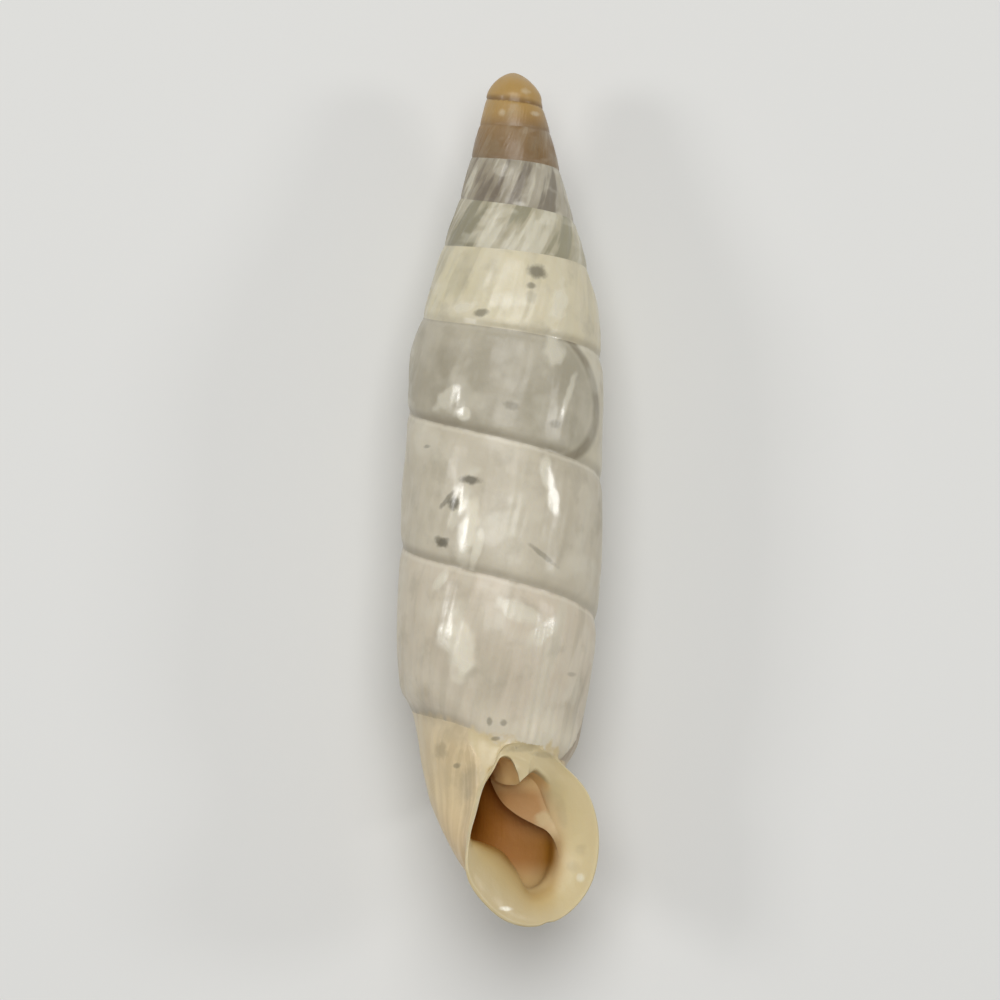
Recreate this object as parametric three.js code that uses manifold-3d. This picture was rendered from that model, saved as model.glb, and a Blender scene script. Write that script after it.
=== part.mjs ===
// A rock snail's empty shell: a slender, left-handed spindle of about ten whorls, with ribbed early
// whorls, a narrowed neck and a flared lip round a pear-shaped mouth that is hollow.
// The shell is shaped upright, in millimetres: its axis on Z, its mouth facing -Y and the foot of its
// lip at height 0. At the end it is laid down on its back, as an empty shell lies, with the mouth up.
import * as THREE from 'three';
import { mergeVertices } from 'three/addons/utils/BufferGeometryUtils.js';
import Module from 'manifold-3d';

const wasm = await Module();
wasm.setup();

// Driving dimensions, in millimetres.
const HEIGHT = 18.05; // foot of the lip to the tip
const DOME_HEIGHT = 0.55; // the rounded first whorl at the tip
const DOME_RADIUS = 0.56;
// Half-width of the spindle at each height, from the foot of the last whorl up to the dome.
const SPINDLE = [
  [2.6, 1.2], [3.1, 1.42], [3.5, 1.6], [3.9, 1.72], [4.5, 1.85], [5.2, 2.0], [6.0, 2.08], [7.4, 2.1],
  [8.8, 2.09], [10.2, 2.06], [11.4, 2.05], [12.2, 1.97], [13.0, 1.82], [13.7, 1.64], [14.5, 1.41],
  [15.2, 1.18], [16.0, 0.95], [16.8, 0.68], [17.2, 0.58], [17.45, 0.56],
];
// Height of the suture, the line between two whorls, at each turn of the spiral. Whole turns face the
// mouth side, and a quarter more is the columella side.
const SUTURE = [
  [0, 18.05], [0.75, 17.48], [1.25, 17.29], [1.75, 16.91], [2.25, 16.78], [2.75, 16.22], [3.25, 15.98],
  [3.75, 15.35], [4.25, 14.9], [4.75, 14.33], [5.25, 13.91], [5.75, 12.73], [6.25, 12.16],
  [6.75, 10.79], [7.25, 9.48], [7.75, 7.95], [8.25, 6.5], [8.75, 4.62], [9.0, 4.2], [9.25, 3.7],
  [9.5, 3.35],
];
// How far the axis wanders to the columella side at each height.
const WANDER = [[12.0, 0], [13.0, 0.06], [14.5, 0.05], [16.0, 0], [17.5, -0.07], [18.05, -0.09]];
const SUTURE_DEPTH = 0.05;
const SUTURE_WIDTH = 0.07; // as a share of the whorl's height
const WHORL_BULGE = 0.025;
const UNDERCUT = 0.03; // how far a whorl tucks under the one above it where two stretches meet
const TUCKED = 3; // facets of a stretch that lie under the stretch before it
const RIB_HEIGHT = 0.02;
const RIBS_PER_TURN = 34;
const RIBBED_TURNS = [3, 5.5];
const RIBS_RISE = 4; // share of their height that the ribs gain per turn where they begin
const RIBS_FADE = 0.6; // and lose per turn before they end
const SMOOTH_SEGMENTS = 30; // facets round one smooth whorl
const TIP_SEGMENTS = 20;
const BODY_END = 8.5; // where the last whorl leaves the spindle as the neck
const END_DIP = 0.06; // how far a stretch sinks into the one after it over its last facets
const END_FACETS = 4;
const WALL = 0.15;
// Heights across a whorl of its rows of facets, as shares from the upper suture to the lower one.
const TIP_ROWS = [0, 0.12, 0.5, 0.88];
const BODY_ROWS = [0, 0.1, 0.36, 0.66, 0.9];
// The rounded foot of the last whorl, ring by ring inwards: [share of its width, drop].
const BASE = [[0.93, 0.17], [0.75, 0.33], [0.4, 0.42]];

// Mouth: a vertical plane through MOUTH, turned by MOUTH_YAW from the straight front view.
const MOUTH = new THREE.Vector3(0.62, -1.5, 1.75);
const MOUTH_YAW = THREE.MathUtils.degToRad(28);
// The mouth's edge and the lip's edge as seen from the front: [to the right, height], clockwise from
// the notch at the top. Each point of one answers to the same point of the other.
const MOUTH_EDGE = [
  [0.3, 3.5], [0.75, 3.36], [1.2, 3.02], [1.48, 2.45], [1.54, 1.8], [1.46, 1.15], [1.15, 0.78],
  [0.69, 0.66], [0.27, 0.77], [-0.08, 1.05], [-0.31, 1.45], [-0.38, 1.82], [-0.27, 2.35],
  [-0.12, 2.85], [0.08, 3.28],
];
const LIP_EDGE = [
  [0.28, 3.66], [0.9, 3.66], [1.55, 3.38], [2.06, 2.82], [2.3, 1.95], [2.18, 1.0], [1.68, 0.3],
  [1.0, 0.0], [0.42, 0.14], [-0.06, 0.62], [-0.42, 1.2], [-0.52, 1.8], [-0.42, 2.4], [-0.27, 2.92],
  [-0.02, 3.4],
];
const SECTION_POINTS = 30;
const SQUARENESS = 0.8; // 1 would make the tube's cross-section an ellipse
// Cross-sections of the neck's outside, and of the hollow deeper in, in the upright plane through the
// axis at a turn. top and foot are [distance from the axis, height]; outer and inner are the
// half-widths either side of the line between them.
const NECK = [
  { turn: 8.3, top: [1.4, 6.0], foot: [1.15, 3.7], outer: 0.45, inner: 0.6 },
  { turn: 8.5, top: [1.6, 5.9], foot: [0.92, 2.6], outer: 0.59, inner: 0.65 },
  { turn: 8.625, top: [1.42, 5.3], foot: [0.75, 2.1], outer: 0.58, inner: 0.6 },
  { turn: 8.75, top: [1.35, 5.0], foot: [0.45, 1.6], outer: 0.54, inner: 0.6 },
];
const INNER_WHORL = [
  { turn: 7.6, top: [1.3, 8.0], foot: [1.25, 5.8], outer: 0.35, inner: 0.35 },
  { turn: 7.75, top: [1.3, 7.5], foot: [1.25, 5.1], outer: 0.55, inner: 0.5 },
  { turn: 8, top: [1.3, 6.85], foot: [1.2, 4.35], outer: 0.55, inner: 0.5 },
  { turn: 8.2, top: [1.3, 6.2], foot: [1.15, 3.75], outer: 0.55, inner: 0.5 },
];
// Rings round the mouth, each [share of the way from the mouth's edge to the lip's, distance in front
// of the mouth's plane, growth]: the neck's last two, the lip's, and those of the hollow.
const NECK_END = [[0, -0.6, 0.08], [0, -0.3, 0.1]];
const LIP = [[0.4, -0.14, 0.05], [1, -0.07, 0], [0.97, 0.02, 0], [0.5, 0.05, 0], [0.1, 0, 0]];
const HOLLOW_END = [[0, -0.6, -0.07], [0, -0.25, -0.04], [0, 0, 0]];
const HOLLOW_OPENING = [0.08, 0.3, 0];
const NECK_STEPS = [4, 8, 8, 8, 4]; // rings from each cross-section of the neck to the next
const HOLLOW_STEPS = [2, 3, 3, 3, 3, 3, 3, 3, 2, 2];
const NECK_RIDGE = 0.02; // depth of the growth wrinkles, as a share of the neck's width
// The tooth under the mouth's top edge: its root from left to right, and its tip from front to back,
// as [depth behind the mouth's plane, height].
const TOOTH_ROOT = [[0.3, 3.6], [0.9, 3.55]];
const TOOTH_RIGHT = 0.57;
const TOOTH_TIP = [[-0.02, 3.02], [0.15, 2.97], [0.6, 3.05], [1.1, 3.3]];
// The plate: [to the right, height, depth] of its free edge, and of where it leaves the wall.
const PLATE_EDGE = [
  [-0.05, 3.15, 1.3], [0.15, 2.75, 1.1], [0.5, 2.4, 0.9], [0.95, 2.17, 0.7], [1.3, 1.95, 0.5],
  [1.5, 1.55, 0.4],
];
const PLATE_ROOT = [
  [0.3, 3.7, 0.9], [0.8, 3.6, 0.7], [1.3, 3.3, 0.5], [1.65, 2.8, 0.35], [1.75, 2.2, 0.25],
  [1.8, 1.5, 0.25],
];
const PLATE_DEPTH = 1.6;
// The shell lies on its back, this far tip down, on a flat worn this deep along its widest whorls.
const REST_PITCH = THREE.MathUtils.degToRad(0.4);
const REST_FLAT = 0.06;
const DOWN = new THREE.Vector3(0, 1, Math.tan(REST_PITCH)).normalize();
const SAME_PLACE = 1e-4; // vertices nearer to each other than this are one
const SHELL_FINISH = { color: 0xd6cdb8, roughness: 0.35, metalness: 0 };

const { lerp, clamp } = THREE.MathUtils;

// A smooth curve through [position, value] pairs that never overshoots them.
function smoothThrough(pairs, at) {
  let i = 0;
  while (i < pairs.length - 2 && at > pairs[i + 1][0]) i += 1;
  const slope = (k) => (pairs[k + 1][1] - pairs[k][1]) / (pairs[k + 1][0] - pairs[k][0]);
  const tangent = (k) => {
    if (k === 0) return slope(0);
    if (k === pairs.length - 1) return slope(k - 1);
    const before = slope(k - 1);
    const after = slope(k);
    return before * after > 0 ? (2 * before * after) / (before + after) : 0;
  };
  const span = pairs[i + 1][0] - pairs[i][0];
  const t = clamp((at - pairs[i][0]) / span, 0, 1);
  const t2 = t * t;
  const t3 = t2 * t;
  return (2 * t3 - 3 * t2 + 1) * pairs[i][1] + (t3 - 2 * t2 + t) * span * tangent(i)
    + (3 * t2 - 2 * t3) * pairs[i + 1][1] + (t3 - t2) * span * tangent(i + 1);
}

function spindleRadius(height) {
  const domeFoot = HEIGHT - DOME_HEIGHT;
  if (height <= domeFoot) return smoothThrough(SPINDLE, height);
  const up = Math.min((height - domeFoot) / DOME_HEIGHT, 1);
  return DOME_RADIUS * Math.sqrt(1 - up * up);
}

function sutureHeight(turn) {
  return turn <= 0 ? HEIGHT : smoothThrough(SUTURE, turn);
}

// The direction away from the axis at a turn. The spiral is left-handed: seen from the tip it widens
// anticlockwise.
function outward(turn) {
  const angle = turn * 2 * Math.PI;
  return new THREE.Vector3(Math.sin(angle), -Math.cos(angle), 0);
}

// The closed solid inside a geometry, with its shared vertices merged.
function solidIn(geometry) {
  const merged = mergeVertices(geometry, SAME_PLACE);
  const index = merged.index.array;
  const kept = [];
  for (let i = 0; i < index.length; i += 3) {
    const [a, b, c] = index.slice(i, i + 3);
    if (a !== b && b !== c && c !== a) kept.push(a, b, c);
  }
  return new wasm.Manifold(new wasm.Mesh({
    numProp: 3,
    vertProperties: new Float32Array(merged.attributes.position.array),
    triVerts: new Uint32Array(kept),
  }));
}

// A closed solid from a list of vertices and faces of three or four vertex numbers.
function solidOf(vertices, faces) {
  const geometry = new THREE.BufferGeometry();
  const places = vertices.flatMap((v) => v.toArray());
  geometry.setAttribute('position', new THREE.Float32BufferAttribute(places, 3));
  geometry.setIndex(faces.flatMap(([a, b, c, d]) => (d === undefined ? [a, b, c] : [a, b, c, a, c, d])));
  return solidIn(geometry);
}

// A closed solid from rings of points, one after another along a path, with both ends filled.
function loft(rings) {
  const count = rings[0].length;
  const vertices = rings.flat();
  const faces = [];
  for (let i = 0; i + 1 < rings.length; i += 1) {
    for (let j = 0; j < count; j += 1) {
      const next = (j + 1) % count;
      faces.push([i * count + next, i * count + j, (i + 1) * count + j, (i + 1) * count + next]);
    }
  }
  for (const end of [0, rings.length - 1]) {
    const middle = new THREE.Vector3();
    rings[end].forEach((p) => middle.addScaledVector(p, 1 / count));
    vertices.push(middle);
    for (let j = 0; j < count; j += 1) {
      const a = end * count + j;
      const b = end * count + ((j + 1) % count);
      faces.push(end ? [b, a, vertices.length - 1] : [a, b, vertices.length - 1]);
    }
  }
  return solidOf(vertices, faces);
}

// A stretch of the spindle's whorls, from one turn to another, as a helical band whose edges are the
// suture. Its first facets lie tucked under the stretch before it. lean is how many facets a rib
// shifts from the top of its whorl to the foot. ends says that the last facets sink into what follows.
function whorls({ from, to, segments, rows, ends = false, ribs = 0, lean = 0, base = [] }) {
  const vertices = [];
  const numbers = new Map();
  const first = Math.round(from * segments) - (from > 0 ? TUCKED + lean : 0);
  const last = Math.round(to * segments);
  const number = (column, row) => {
    const wraps = row === rows.length;
    const key = wraps ? `${column + segments - lean} 0` : `${column} ${row}`;
    if (!numbers.has(key)) {
      numbers.set(key, vertices.length);
      vertices.push(wraps ? vertexAt(column + segments - lean, 0) : vertexAt(column, row));
    }
    return numbers.get(key);
  };
  const vertexAt = (column, row) => {
    const part = rows[row];
    const turn = (column - lean * part) / segments;
    const freeTop = row === 0 && from > 0 && column <= first + segments - lean;
    const freeFoot = row === 0 && column > last;
    let height = lerp(sutureHeight(turn), sutureHeight(turn + 1), part);
    let radius = spindleRadius(height);
    if (turn > 0 || part > 0) {
      const waist = Math.exp(-((Math.min(part, 1 - part) / SUTURE_WIDTH) ** 2));
      radius += WHORL_BULGE * Math.sin(Math.PI * part) - SUTURE_DEPTH * waist * Math.min(radius, 1);
      const strength = clamp(Math.min((turn - from) * RIBS_RISE, (to - turn) * RIBS_FADE), 0, 1);
      radius += ribs * strength * Math.sin(Math.PI * part) * (column % 2 ? 1 : -1);
    }
    if (freeTop) {
      radius -= UNDERCUT;
      height += 2 * UNDERCUT;
    }
    if (from > 0 && column === first) radius -= UNDERCUT;
    if (freeFoot) radius += UNDERCUT / 2;
    if (ends) radius -= END_DIP * clamp(1 - (last - column) / END_FACETS, 0, 1);
    const p = outward(turn).multiplyScalar(Math.max(radius, 0)).setZ(height);
    p.x += smoothThrough(WANDER, height);
    return p;
  };
  const faces = [];
  for (let column = first; column < last; column += 1) {
    rows.forEach((_, row) => {
      faces.push([
        number(column, row), number(column, row + 1), number(column + 1, row + 1), number(column + 1, row),
      ]);
    });
  }
  // The band's two open ends, each a turn of the suture and the step between its two ends.
  const top = rows.map((_, row) => number(first, row));
  for (let column = first + segments - lean; column > first; column -= 1) top.push(number(column, 0));
  const foot = rows.map((_, row) => number(last, row));
  for (let column = last; column > last - segments + lean; column -= 1) {
    foot.push(number(column, rows.length));
  }
  const cap = (loop, height, rounding) => {
    let ring = loop;
    for (const [scale, drop] of rounding) {
      const inner = loop.map((n) => {
        const p = vertices[n].clone();
        vertices.push(new THREE.Vector3(p.x * scale, p.y * scale, p.z - drop));
        return vertices.length - 1;
      });
      ring.forEach((_, i) => {
        const j = (i + 1) % ring.length;
        faces.push([ring[i], ring[j], inner[j], inner[i]]);
      });
      ring = inner;
    }
    vertices.push(new THREE.Vector3(0, 0, height));
    ring.forEach((n, i) => {
      const next = ring[(i + 1) % ring.length];
      faces.push([n, next, vertices.length - 1]);
    });
  };
  if (from > 0) cap(top.reverse(), sutureHeight(from) + WALL, []);
  cap(foot, sutureHeight(to + 1) - (base.length ? base.at(-1)[1] : 0), base);
  return solidOf(vertices, faces);
}

// A ring of points round one cross-section of the coiled tube, or of its inside, a wall thinner.
function section({ turn, top, foot, outer, inner }, thinner = 0) {
  const away = outward(turn);
  const end = new THREE.Vector2(...top);
  const half = end.clone().sub(new THREE.Vector2(...foot)).multiplyScalar(0.5);
  const middle = end.clone().sub(half);
  half.setLength(half.length() - thinner);
  const across = new THREE.Vector2(half.y, -half.x).normalize();
  return Array.from({ length: SECTION_POINTS }, (_, j) => {
    const angle = (j / SECTION_POINTS) * 2 * Math.PI;
    const along = Math.sign(Math.cos(angle)) * Math.abs(Math.cos(angle)) ** SQUARENESS;
    const width = (angle < Math.PI ? -inner : outer) + (angle < Math.PI ? thinner : -thinner);
    const p = middle.clone().addScaledVector(half, along)
      .addScaledVector(across, width * Math.abs(Math.sin(angle)) ** SQUARENESS);
    return away.clone().multiplyScalar(p.x).setZ(p.y);
  });
}

// A point given by how it is seen from the front, on the plane of the mouth.
function onMouth([right, height]) {
  const aside = right - MOUTH.x;
  return new THREE.Vector3(right, MOUTH.y + aside * Math.tan(MOUTH_YAW), height);
}

// A ring round the mouth: share 0 is the mouth's edge and 1 the lip's, grown by a width in
// millimetres and set forward of the mouth's plane.
function mouthRing([share, forward, grow]) {
  const edge = MOUTH_EDGE.map((p, i) => onMouth(p).lerp(onMouth(LIP_EDGE[i]), share));
  const facing = new THREE.Vector3(Math.sin(MOUTH_YAW), -Math.cos(MOUTH_YAW), 0);
  const curve = new THREE.CatmullRomCurve3(edge, true, 'catmullrom', 0.5);
  return Array.from({ length: SECTION_POINTS }, (_, j) => {
    const p = curve.getPoint(j / SECTION_POINTS);
    const out = p.clone().sub(MOUTH).setLength(grow);
    return p.add(out).addScaledVector(facing, forward);
  });
}

// Rings smoothly filled in between the given ones, with steps[i] of them after ring i. ridge shrinks
// every other one, which leaves low ribs across the path.
function through(rings, steps, ridge = 0) {
  const curves = rings[0].map((_, j) => new THREE.CatmullRomCurve3(rings.map((ring) => ring[j])));
  const filled = [];
  steps.forEach((count, i) => {
    for (let k = 0; k < count; k += 1) {
      const ring = curves.map((curve) => curve.getPoint((i + k / count) / (rings.length - 1)));
      const middle = new THREE.Vector3();
      ring.forEach((p) => middle.addScaledVector(p, 1 / ring.length));
      const shrink = filled.length % 2 ? 1 - ridge : 1;
      filled.push(ring.map((p) => p.sub(middle).multiplyScalar(shrink).add(middle)));
    }
  });
  return [...filled, rings.at(-1)];
}

// The narrowed neck from inside the last whorl to the mouth, with the lip turned out at its end.
function neckAndLip() {
  const sections = [...NECK.map((s) => section(s)), ...NECK_END.map(mouthRing)];
  return loft([...through(sections, NECK_STEPS, NECK_RIDGE), ...LIP.map(mouthRing)]);
}

// The hollow that starts at the mouth and winds on up inside the last whorl.
function hollow() {
  const inner = [...INNER_WHORL.map((s) => section(s)), ...NECK.map((s) => section(s, WALL))];
  const rings = [...inner, ...HOLLOW_END.map(mouthRing)];
  return loft([...through(rings, HOLLOW_STEPS), mouthRing(HOLLOW_OPENING)]);
}

// The two folds in the mouth: a tooth under the top edge and a broad plate from the columella.
function folds() {
  const behind = ([right, height, depth]) => onMouth([right, height]).add(new THREE.Vector3(0, depth, 0));
  const deeper = (p, by) => p.clone().add(new THREE.Vector3(0, by, 0));
  const [left, right] = TOOTH_ROOT;
  const tooth = TOOTH_TIP.map(([depth, tip]) => (
    [[TOOTH_RIGHT, tip, depth], [...right, depth], [...left, depth]].map(behind)
  ));
  const plate = PLATE_EDGE.map((p, i) => {
    const free = behind(p);
    const root = behind(PLATE_ROOT[i]);
    return [free, root, deeper(root, PLATE_DEPTH), deeper(free, PLATE_DEPTH)];
  });
  return [loft(tooth), loft(plate)];
}

function spindle() {
  const [ribsStart, ribsEnd] = RIBBED_TURNS;
  const tip = whorls({ from: -1, to: ribsStart, segments: TIP_SEGMENTS, rows: TIP_ROWS });
  const ribbed = whorls({
    from: ribsStart,
    to: ribsEnd,
    segments: 2 * RIBS_PER_TURN,
    rows: TIP_ROWS,
    ribs: RIB_HEIGHT,
    lean: 2,
    ends: true,
  });
  const smooth = whorls({
    from: ribsEnd, to: BODY_END, segments: SMOOTH_SEGMENTS, rows: BODY_ROWS, base: BASE, ends: true,
  });
  return tip.add(ribbed).add(smooth);
}

// What lies below the flat that the shell rests on.
function ground(solid) {
  const { vertProperties } = solid.getMesh();
  const places = new THREE.BufferAttribute(vertProperties, 3);
  const depths = Array.from({ length: places.count }, (_, i) => (
    new THREE.Vector3().fromBufferAttribute(places, i).dot(DOWN)
  ));
  const deep = Math.max(...depths);
  const block = new THREE.BoxGeometry(2 * deep, 2 * deep, 2 * HEIGHT);
  block.deleteAttribute('normal');
  block.deleteAttribute('uv');
  block.translate(0, 2 * deep - REST_FLAT, 0);
  block.applyQuaternion(new THREE.Quaternion().setFromUnitVectors(new THREE.Vector3(0, 1, 0), DOWN));
  return solidIn(block);
}

// The whole shell, upright: the spindle and neck as one, hollowed from the mouth round the two folds.
function shellGeometry() {
  const space = folds().reduce((left, fold) => left.subtract(fold), hollow());
  const whole = spindle().add(neckAndLip()).subtract(space);
  const { vertProperties, triVerts } = whole.subtract(ground(whole)).getMesh();
  const geometry = new THREE.BufferGeometry();
  geometry.setAttribute('position', new THREE.BufferAttribute(vertProperties, 3));
  geometry.setIndex(new THREE.BufferAttribute(triVerts, 1));
  return geometry;
}

// Lays the upright shell on its back on the ground, tip towards +X, over the origin.
function layDown(object) {
  const up = DOWN.clone().negate();
  const tipward = new THREE.Vector3(0, 0, 1).addScaledVector(DOWN, -DOWN.z).normalize();
  const turned = new THREE.Matrix4().makeBasis(tipward, up.clone().cross(tipward), up).transpose();
  object.quaternion.setFromRotationMatrix(turned);
  object.updateMatrixWorld(true);
  const box = new THREE.Box3().setFromObject(object, true);
  const middle = box.getCenter(new THREE.Vector3());
  object.position.set(-middle.x, -middle.y, -box.min.z);
}

const shell = new THREE.Mesh(shellGeometry(), new THREE.MeshStandardMaterial(SHELL_FINISH));
shell.name = 'shell';
layDown(shell);
const group = new THREE.Group();
group.add(shell);
export default group;
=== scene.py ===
import math

import bmesh
import bpy
import numpy as np
from mathutils import Matrix, Vector
from mathutils.bvhtree import BVHTree
from mathutils.kdtree import KDTree


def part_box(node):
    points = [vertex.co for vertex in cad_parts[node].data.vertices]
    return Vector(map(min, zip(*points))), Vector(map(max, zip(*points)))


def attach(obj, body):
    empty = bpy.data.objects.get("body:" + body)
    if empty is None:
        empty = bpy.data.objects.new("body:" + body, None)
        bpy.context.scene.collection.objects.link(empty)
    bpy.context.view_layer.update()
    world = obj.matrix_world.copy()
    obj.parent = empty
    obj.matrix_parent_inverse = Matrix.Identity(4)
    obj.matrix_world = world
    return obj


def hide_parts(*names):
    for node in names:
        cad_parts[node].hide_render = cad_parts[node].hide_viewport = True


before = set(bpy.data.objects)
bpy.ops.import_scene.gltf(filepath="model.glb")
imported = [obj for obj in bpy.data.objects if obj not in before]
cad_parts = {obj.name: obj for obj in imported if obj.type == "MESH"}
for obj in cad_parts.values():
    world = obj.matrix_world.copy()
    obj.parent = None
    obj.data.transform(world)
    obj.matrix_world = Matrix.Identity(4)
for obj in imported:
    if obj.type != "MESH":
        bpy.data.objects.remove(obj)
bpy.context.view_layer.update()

# The whorls. A snail's shell grows as one thin lime wall, a turn at a time, each whorl fused to the foot
# of the one before it along the suture. The early whorls have low oblique ribs, the later ones only fine
# growth lines. It is shaped upright here, in millimetres, with its axis on Z and its mouth facing -Y.
HEIGHT = 18.05
DOME_HEIGHT = 0.55
DOME_RADIUS = 0.58
DOME_SHOULDER = 1.5
DOME_FULLNESS = 0.6
# Half-width of the spindle at each height, from the foot of the last whorl up to the dome.
SPINDLE = [
    (2.6, 1.2), (3.1, 1.42), (3.5, 1.6), (3.9, 1.78), (4.5, 1.88), (5.2, 2.0), (6.0, 2.08),
    (7.4, 2.1), (8.8, 2.09), (10.2, 2.06), (11.4, 2.05), (12.2, 1.97), (13.0, 1.82), (13.7, 1.64),
    (14.5, 1.41), (15.2, 1.18), (16.0, 0.96), (16.5, 0.835), (16.8, 0.755), (17.2, 0.64), (17.45, 0.58),
]
# Height of the suture at each turn of the spiral. Whole turns face the mouth side, and a quarter more
# is the columella side.
SUTURE = [
    (0, 18.05), (0.75, 17.48), (1.25, 17.29), (1.75, 16.91), (2.25, 16.78), (2.75, 16.22),
    (3.25, 15.98), (3.75, 15.35), (4.25, 14.9), (4.75, 14.33), (5.25, 13.91), (5.75, 12.8),
    (6.25, 12.05), (6.75, 10.79), (7.25, 9.48), (7.75, 7.95), (8.25, 6.5), (8.75, 4.5), (8.85, 4.34),
    (8.91, 4.23), (8.96, 4.07), (9.0, 3.83), (9.03, 3.7), (9.1, 3.62), (9.2, 3.5), (9.3, 3.35), (9.5, 3.2),
]
# How far the axis wanders to the columella side at each height.
WANDER = [
    (6.0, 0), (8.0, 0.015), (9.2, 0.03), (10.4, 0.01), (12.0, 0), (13.0, 0.06), (14.5, 0.05),
    (16.0, 0.01), (17.5, -0.055), (18.05, -0.085),
]
# How deep the suture lies at each turn.
SUTURE_DEPTH = [
    (0.0, 0.02), (1.0, 0.02), (1.6, 0.012), (5.2, 0.015), (6.0, 0.04), (6.6, 0.048), (8.93, 0.05),
    (9.02, 0.01), (9.5, 0.0),
]
SUTURE_WIDTH = 0.055
WHORL_BULGE = 0.012
# The turns over which the waists, the bulges and the lines come in at the tip.
RELIEF_FROM = -0.6
RELIEF_OVER = 0.8
RIBS_PER_TURN = 34
RIB_HEIGHT = 0.008
RIB_LEAN = 0.06
RIB_ENDS = 0.6
RIBBED = [(2.2, 0), (2.9, 0.6), (3.4, 1), (4.6, 1), (5.1, 0.35), (5.7, 0)]
# The last whorl sinks in behind the neck before it ends.
LAST_TURN = 8.72
SINK_FROM = 8.36
SINK_DEPTH = 0.3
COLUMNS = 9 * RIBS_PER_TURN
ROWS = 18
EVEN_ROWS = 0.3
BASE_RINGS = 7
BASE_DROP = 0.42
SAME_PLACE = 1e-5
TINY = 1e-6


def smooth_through(pairs, at):
    """A smooth curve through (position, value) pairs that never overshoots them, at each of at."""
    places, values = np.array(pairs, float).T
    slope = np.diff(values) / np.diff(places)
    product = slope[:-1] * slope[1:]
    total = slope[:-1] + slope[1:]
    inner = np.where(product > 0, 2 * product / np.where(product > 0, total, 1), 0)
    tangent = np.concatenate([slope[:1], inner, slope[-1:]])
    at = np.asarray(at, float)
    i = np.clip(np.searchsorted(places, at, side="right") - 1, 0, len(places) - 2)
    span = places[i + 1] - places[i]
    t = np.clip((at - places[i]) / span, 0, 1)
    start = (2 * t**3 - 3 * t**2 + 1) * values[i] + (t**3 - 2 * t**2 + t) * span * tangent[i]
    end = (3 * t**2 - 2 * t**3) * values[i + 1] + (t**3 - t**2) * span * tangent[i + 1]
    return start + end


def ease(x):
    """0 to 1 with soft ends."""
    x = np.clip(x, 0, 1)
    return x * x * (3 - 2 * x)


def spindle_radius(height):
    up = np.clip((height - HEIGHT + DOME_HEIGHT) / DOME_HEIGHT, 0, 1)
    dome = DOME_RADIUS * (1 - up**DOME_SHOULDER) ** DOME_FULLNESS
    return np.where(up > 0, dome, smooth_through(SPINDLE, height))


def suture_height(turn):
    return np.where(turn <= 0, HEIGHT, smooth_through(SUTURE, turn))


def outward(turn):
    """The direction away from the axis. Seen from the tip the spiral widens anticlockwise."""
    angle = np.asarray(turn) * 2 * math.pi
    return np.stack([np.sin(angle), -np.cos(angle), 0 * angle], axis=-1)


def share_of_turn(x, y):
    """How far round the axis a place is, from 0 at the mouth side up to 1."""
    return (np.arctan2(x, -y) / (2 * math.pi)) % 1


GROWTH_WAVES = 26
GROWTH_COUNTS = (17, 75)
GROWTH_LEANS = (0.02, 0.07)
growth_draw = np.random.default_rng(41)
wave_counts = growth_draw.uniform(*GROWTH_COUNTS, GROWTH_WAVES)
wave_starts = growth_draw.uniform(0, 2 * math.pi, GROWTH_WAVES)
wave_leans = growth_draw.uniform(*GROWTH_LEANS, GROWTH_WAVES)


def growth_lines(turn, part):
    """Uneven low lines across the whorls, where the shell's edge once stood, from about -1 to 1."""
    total = 0 * turn
    for count, start, lean in zip(wave_counts, wave_starts, wave_leans):
        total = total + np.sin(2 * math.pi * count * (turn + lean * part) + start)
    return total / math.sqrt(2 * GROWTH_WAVES)


DENT_DEPTH = 0.016
DENTS_FROM = 4
DENTS_OVER = 1.5
DENT_WAVES = 16
DENT_COUNTS = (2, 11)
DENT_SLANTS = (-9, 9)
dent_counts = growth_draw.uniform(*DENT_COUNTS, DENT_WAVES)
dent_slants = growth_draw.uniform(*DENT_SLANTS, DENT_WAVES)
dent_starts = growth_draw.uniform(0, 2 * math.pi, DENT_WAVES)


def dents(turn, part):
    """Broad shallow unevenness, which breaks the gloss into patches, from about -1 to 1."""
    total = 0 * turn
    slanted = np.sin(math.pi * part / 2)
    for count, slant, start in zip(dent_counts, dent_slants, dent_starts):
        total = total + np.sin(2 * math.pi * count * turn + slant * slanted + start)
    return total * np.sin(math.pi * part) / math.sqrt(DENT_WAVES / 2)


GROWTH_DEPTH = [
    (0, 0.001), (3, 0.004), (5, 0.005), (5.7, 0.0035), (7.5, 0.0035), (8.2, 0.007), (9, 0.01),
]
GROWTH_ENDS = 0.5
# The last whorl's foot has deeper lines, which come in over a stretch: (where it begins, how long it is).
FOOT_LINES = 0.013
FOOT_LINES_TURN = (7.5, 0.3)
FOOT_LINES_PART = (0.68, 0.2)
# The front of the last whorl's foot stands out to meet the lip, and ends on the right in a slanting
# step, which runs on a little below the lip's top.
FRONT_RISE = 0.12
FRONT_TOP = 4.7
FRONT_FOOT = 3.5
FRONT_FULL = 0.14
STEP_TOP = 0.25
STEP_FOOT = 0.149
STEP_WIDTH = 0.02
STEP_RUNS_ON = 1.3
# On the left, above the neck, the foot draws in.
TUCK = [(7.5, 0), (7.62, 0.12), (7.86, 0.12), (7.97, 0)]
TUCK_FROM = 0.86
rows_down = np.linspace(0, 1, ROWS + 1)
row_parts = EVEN_ROWS * rows_down + (1 - EVEN_ROWS) * (0.5 - 0.5 * np.cos(math.pi * rows_down))


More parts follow.
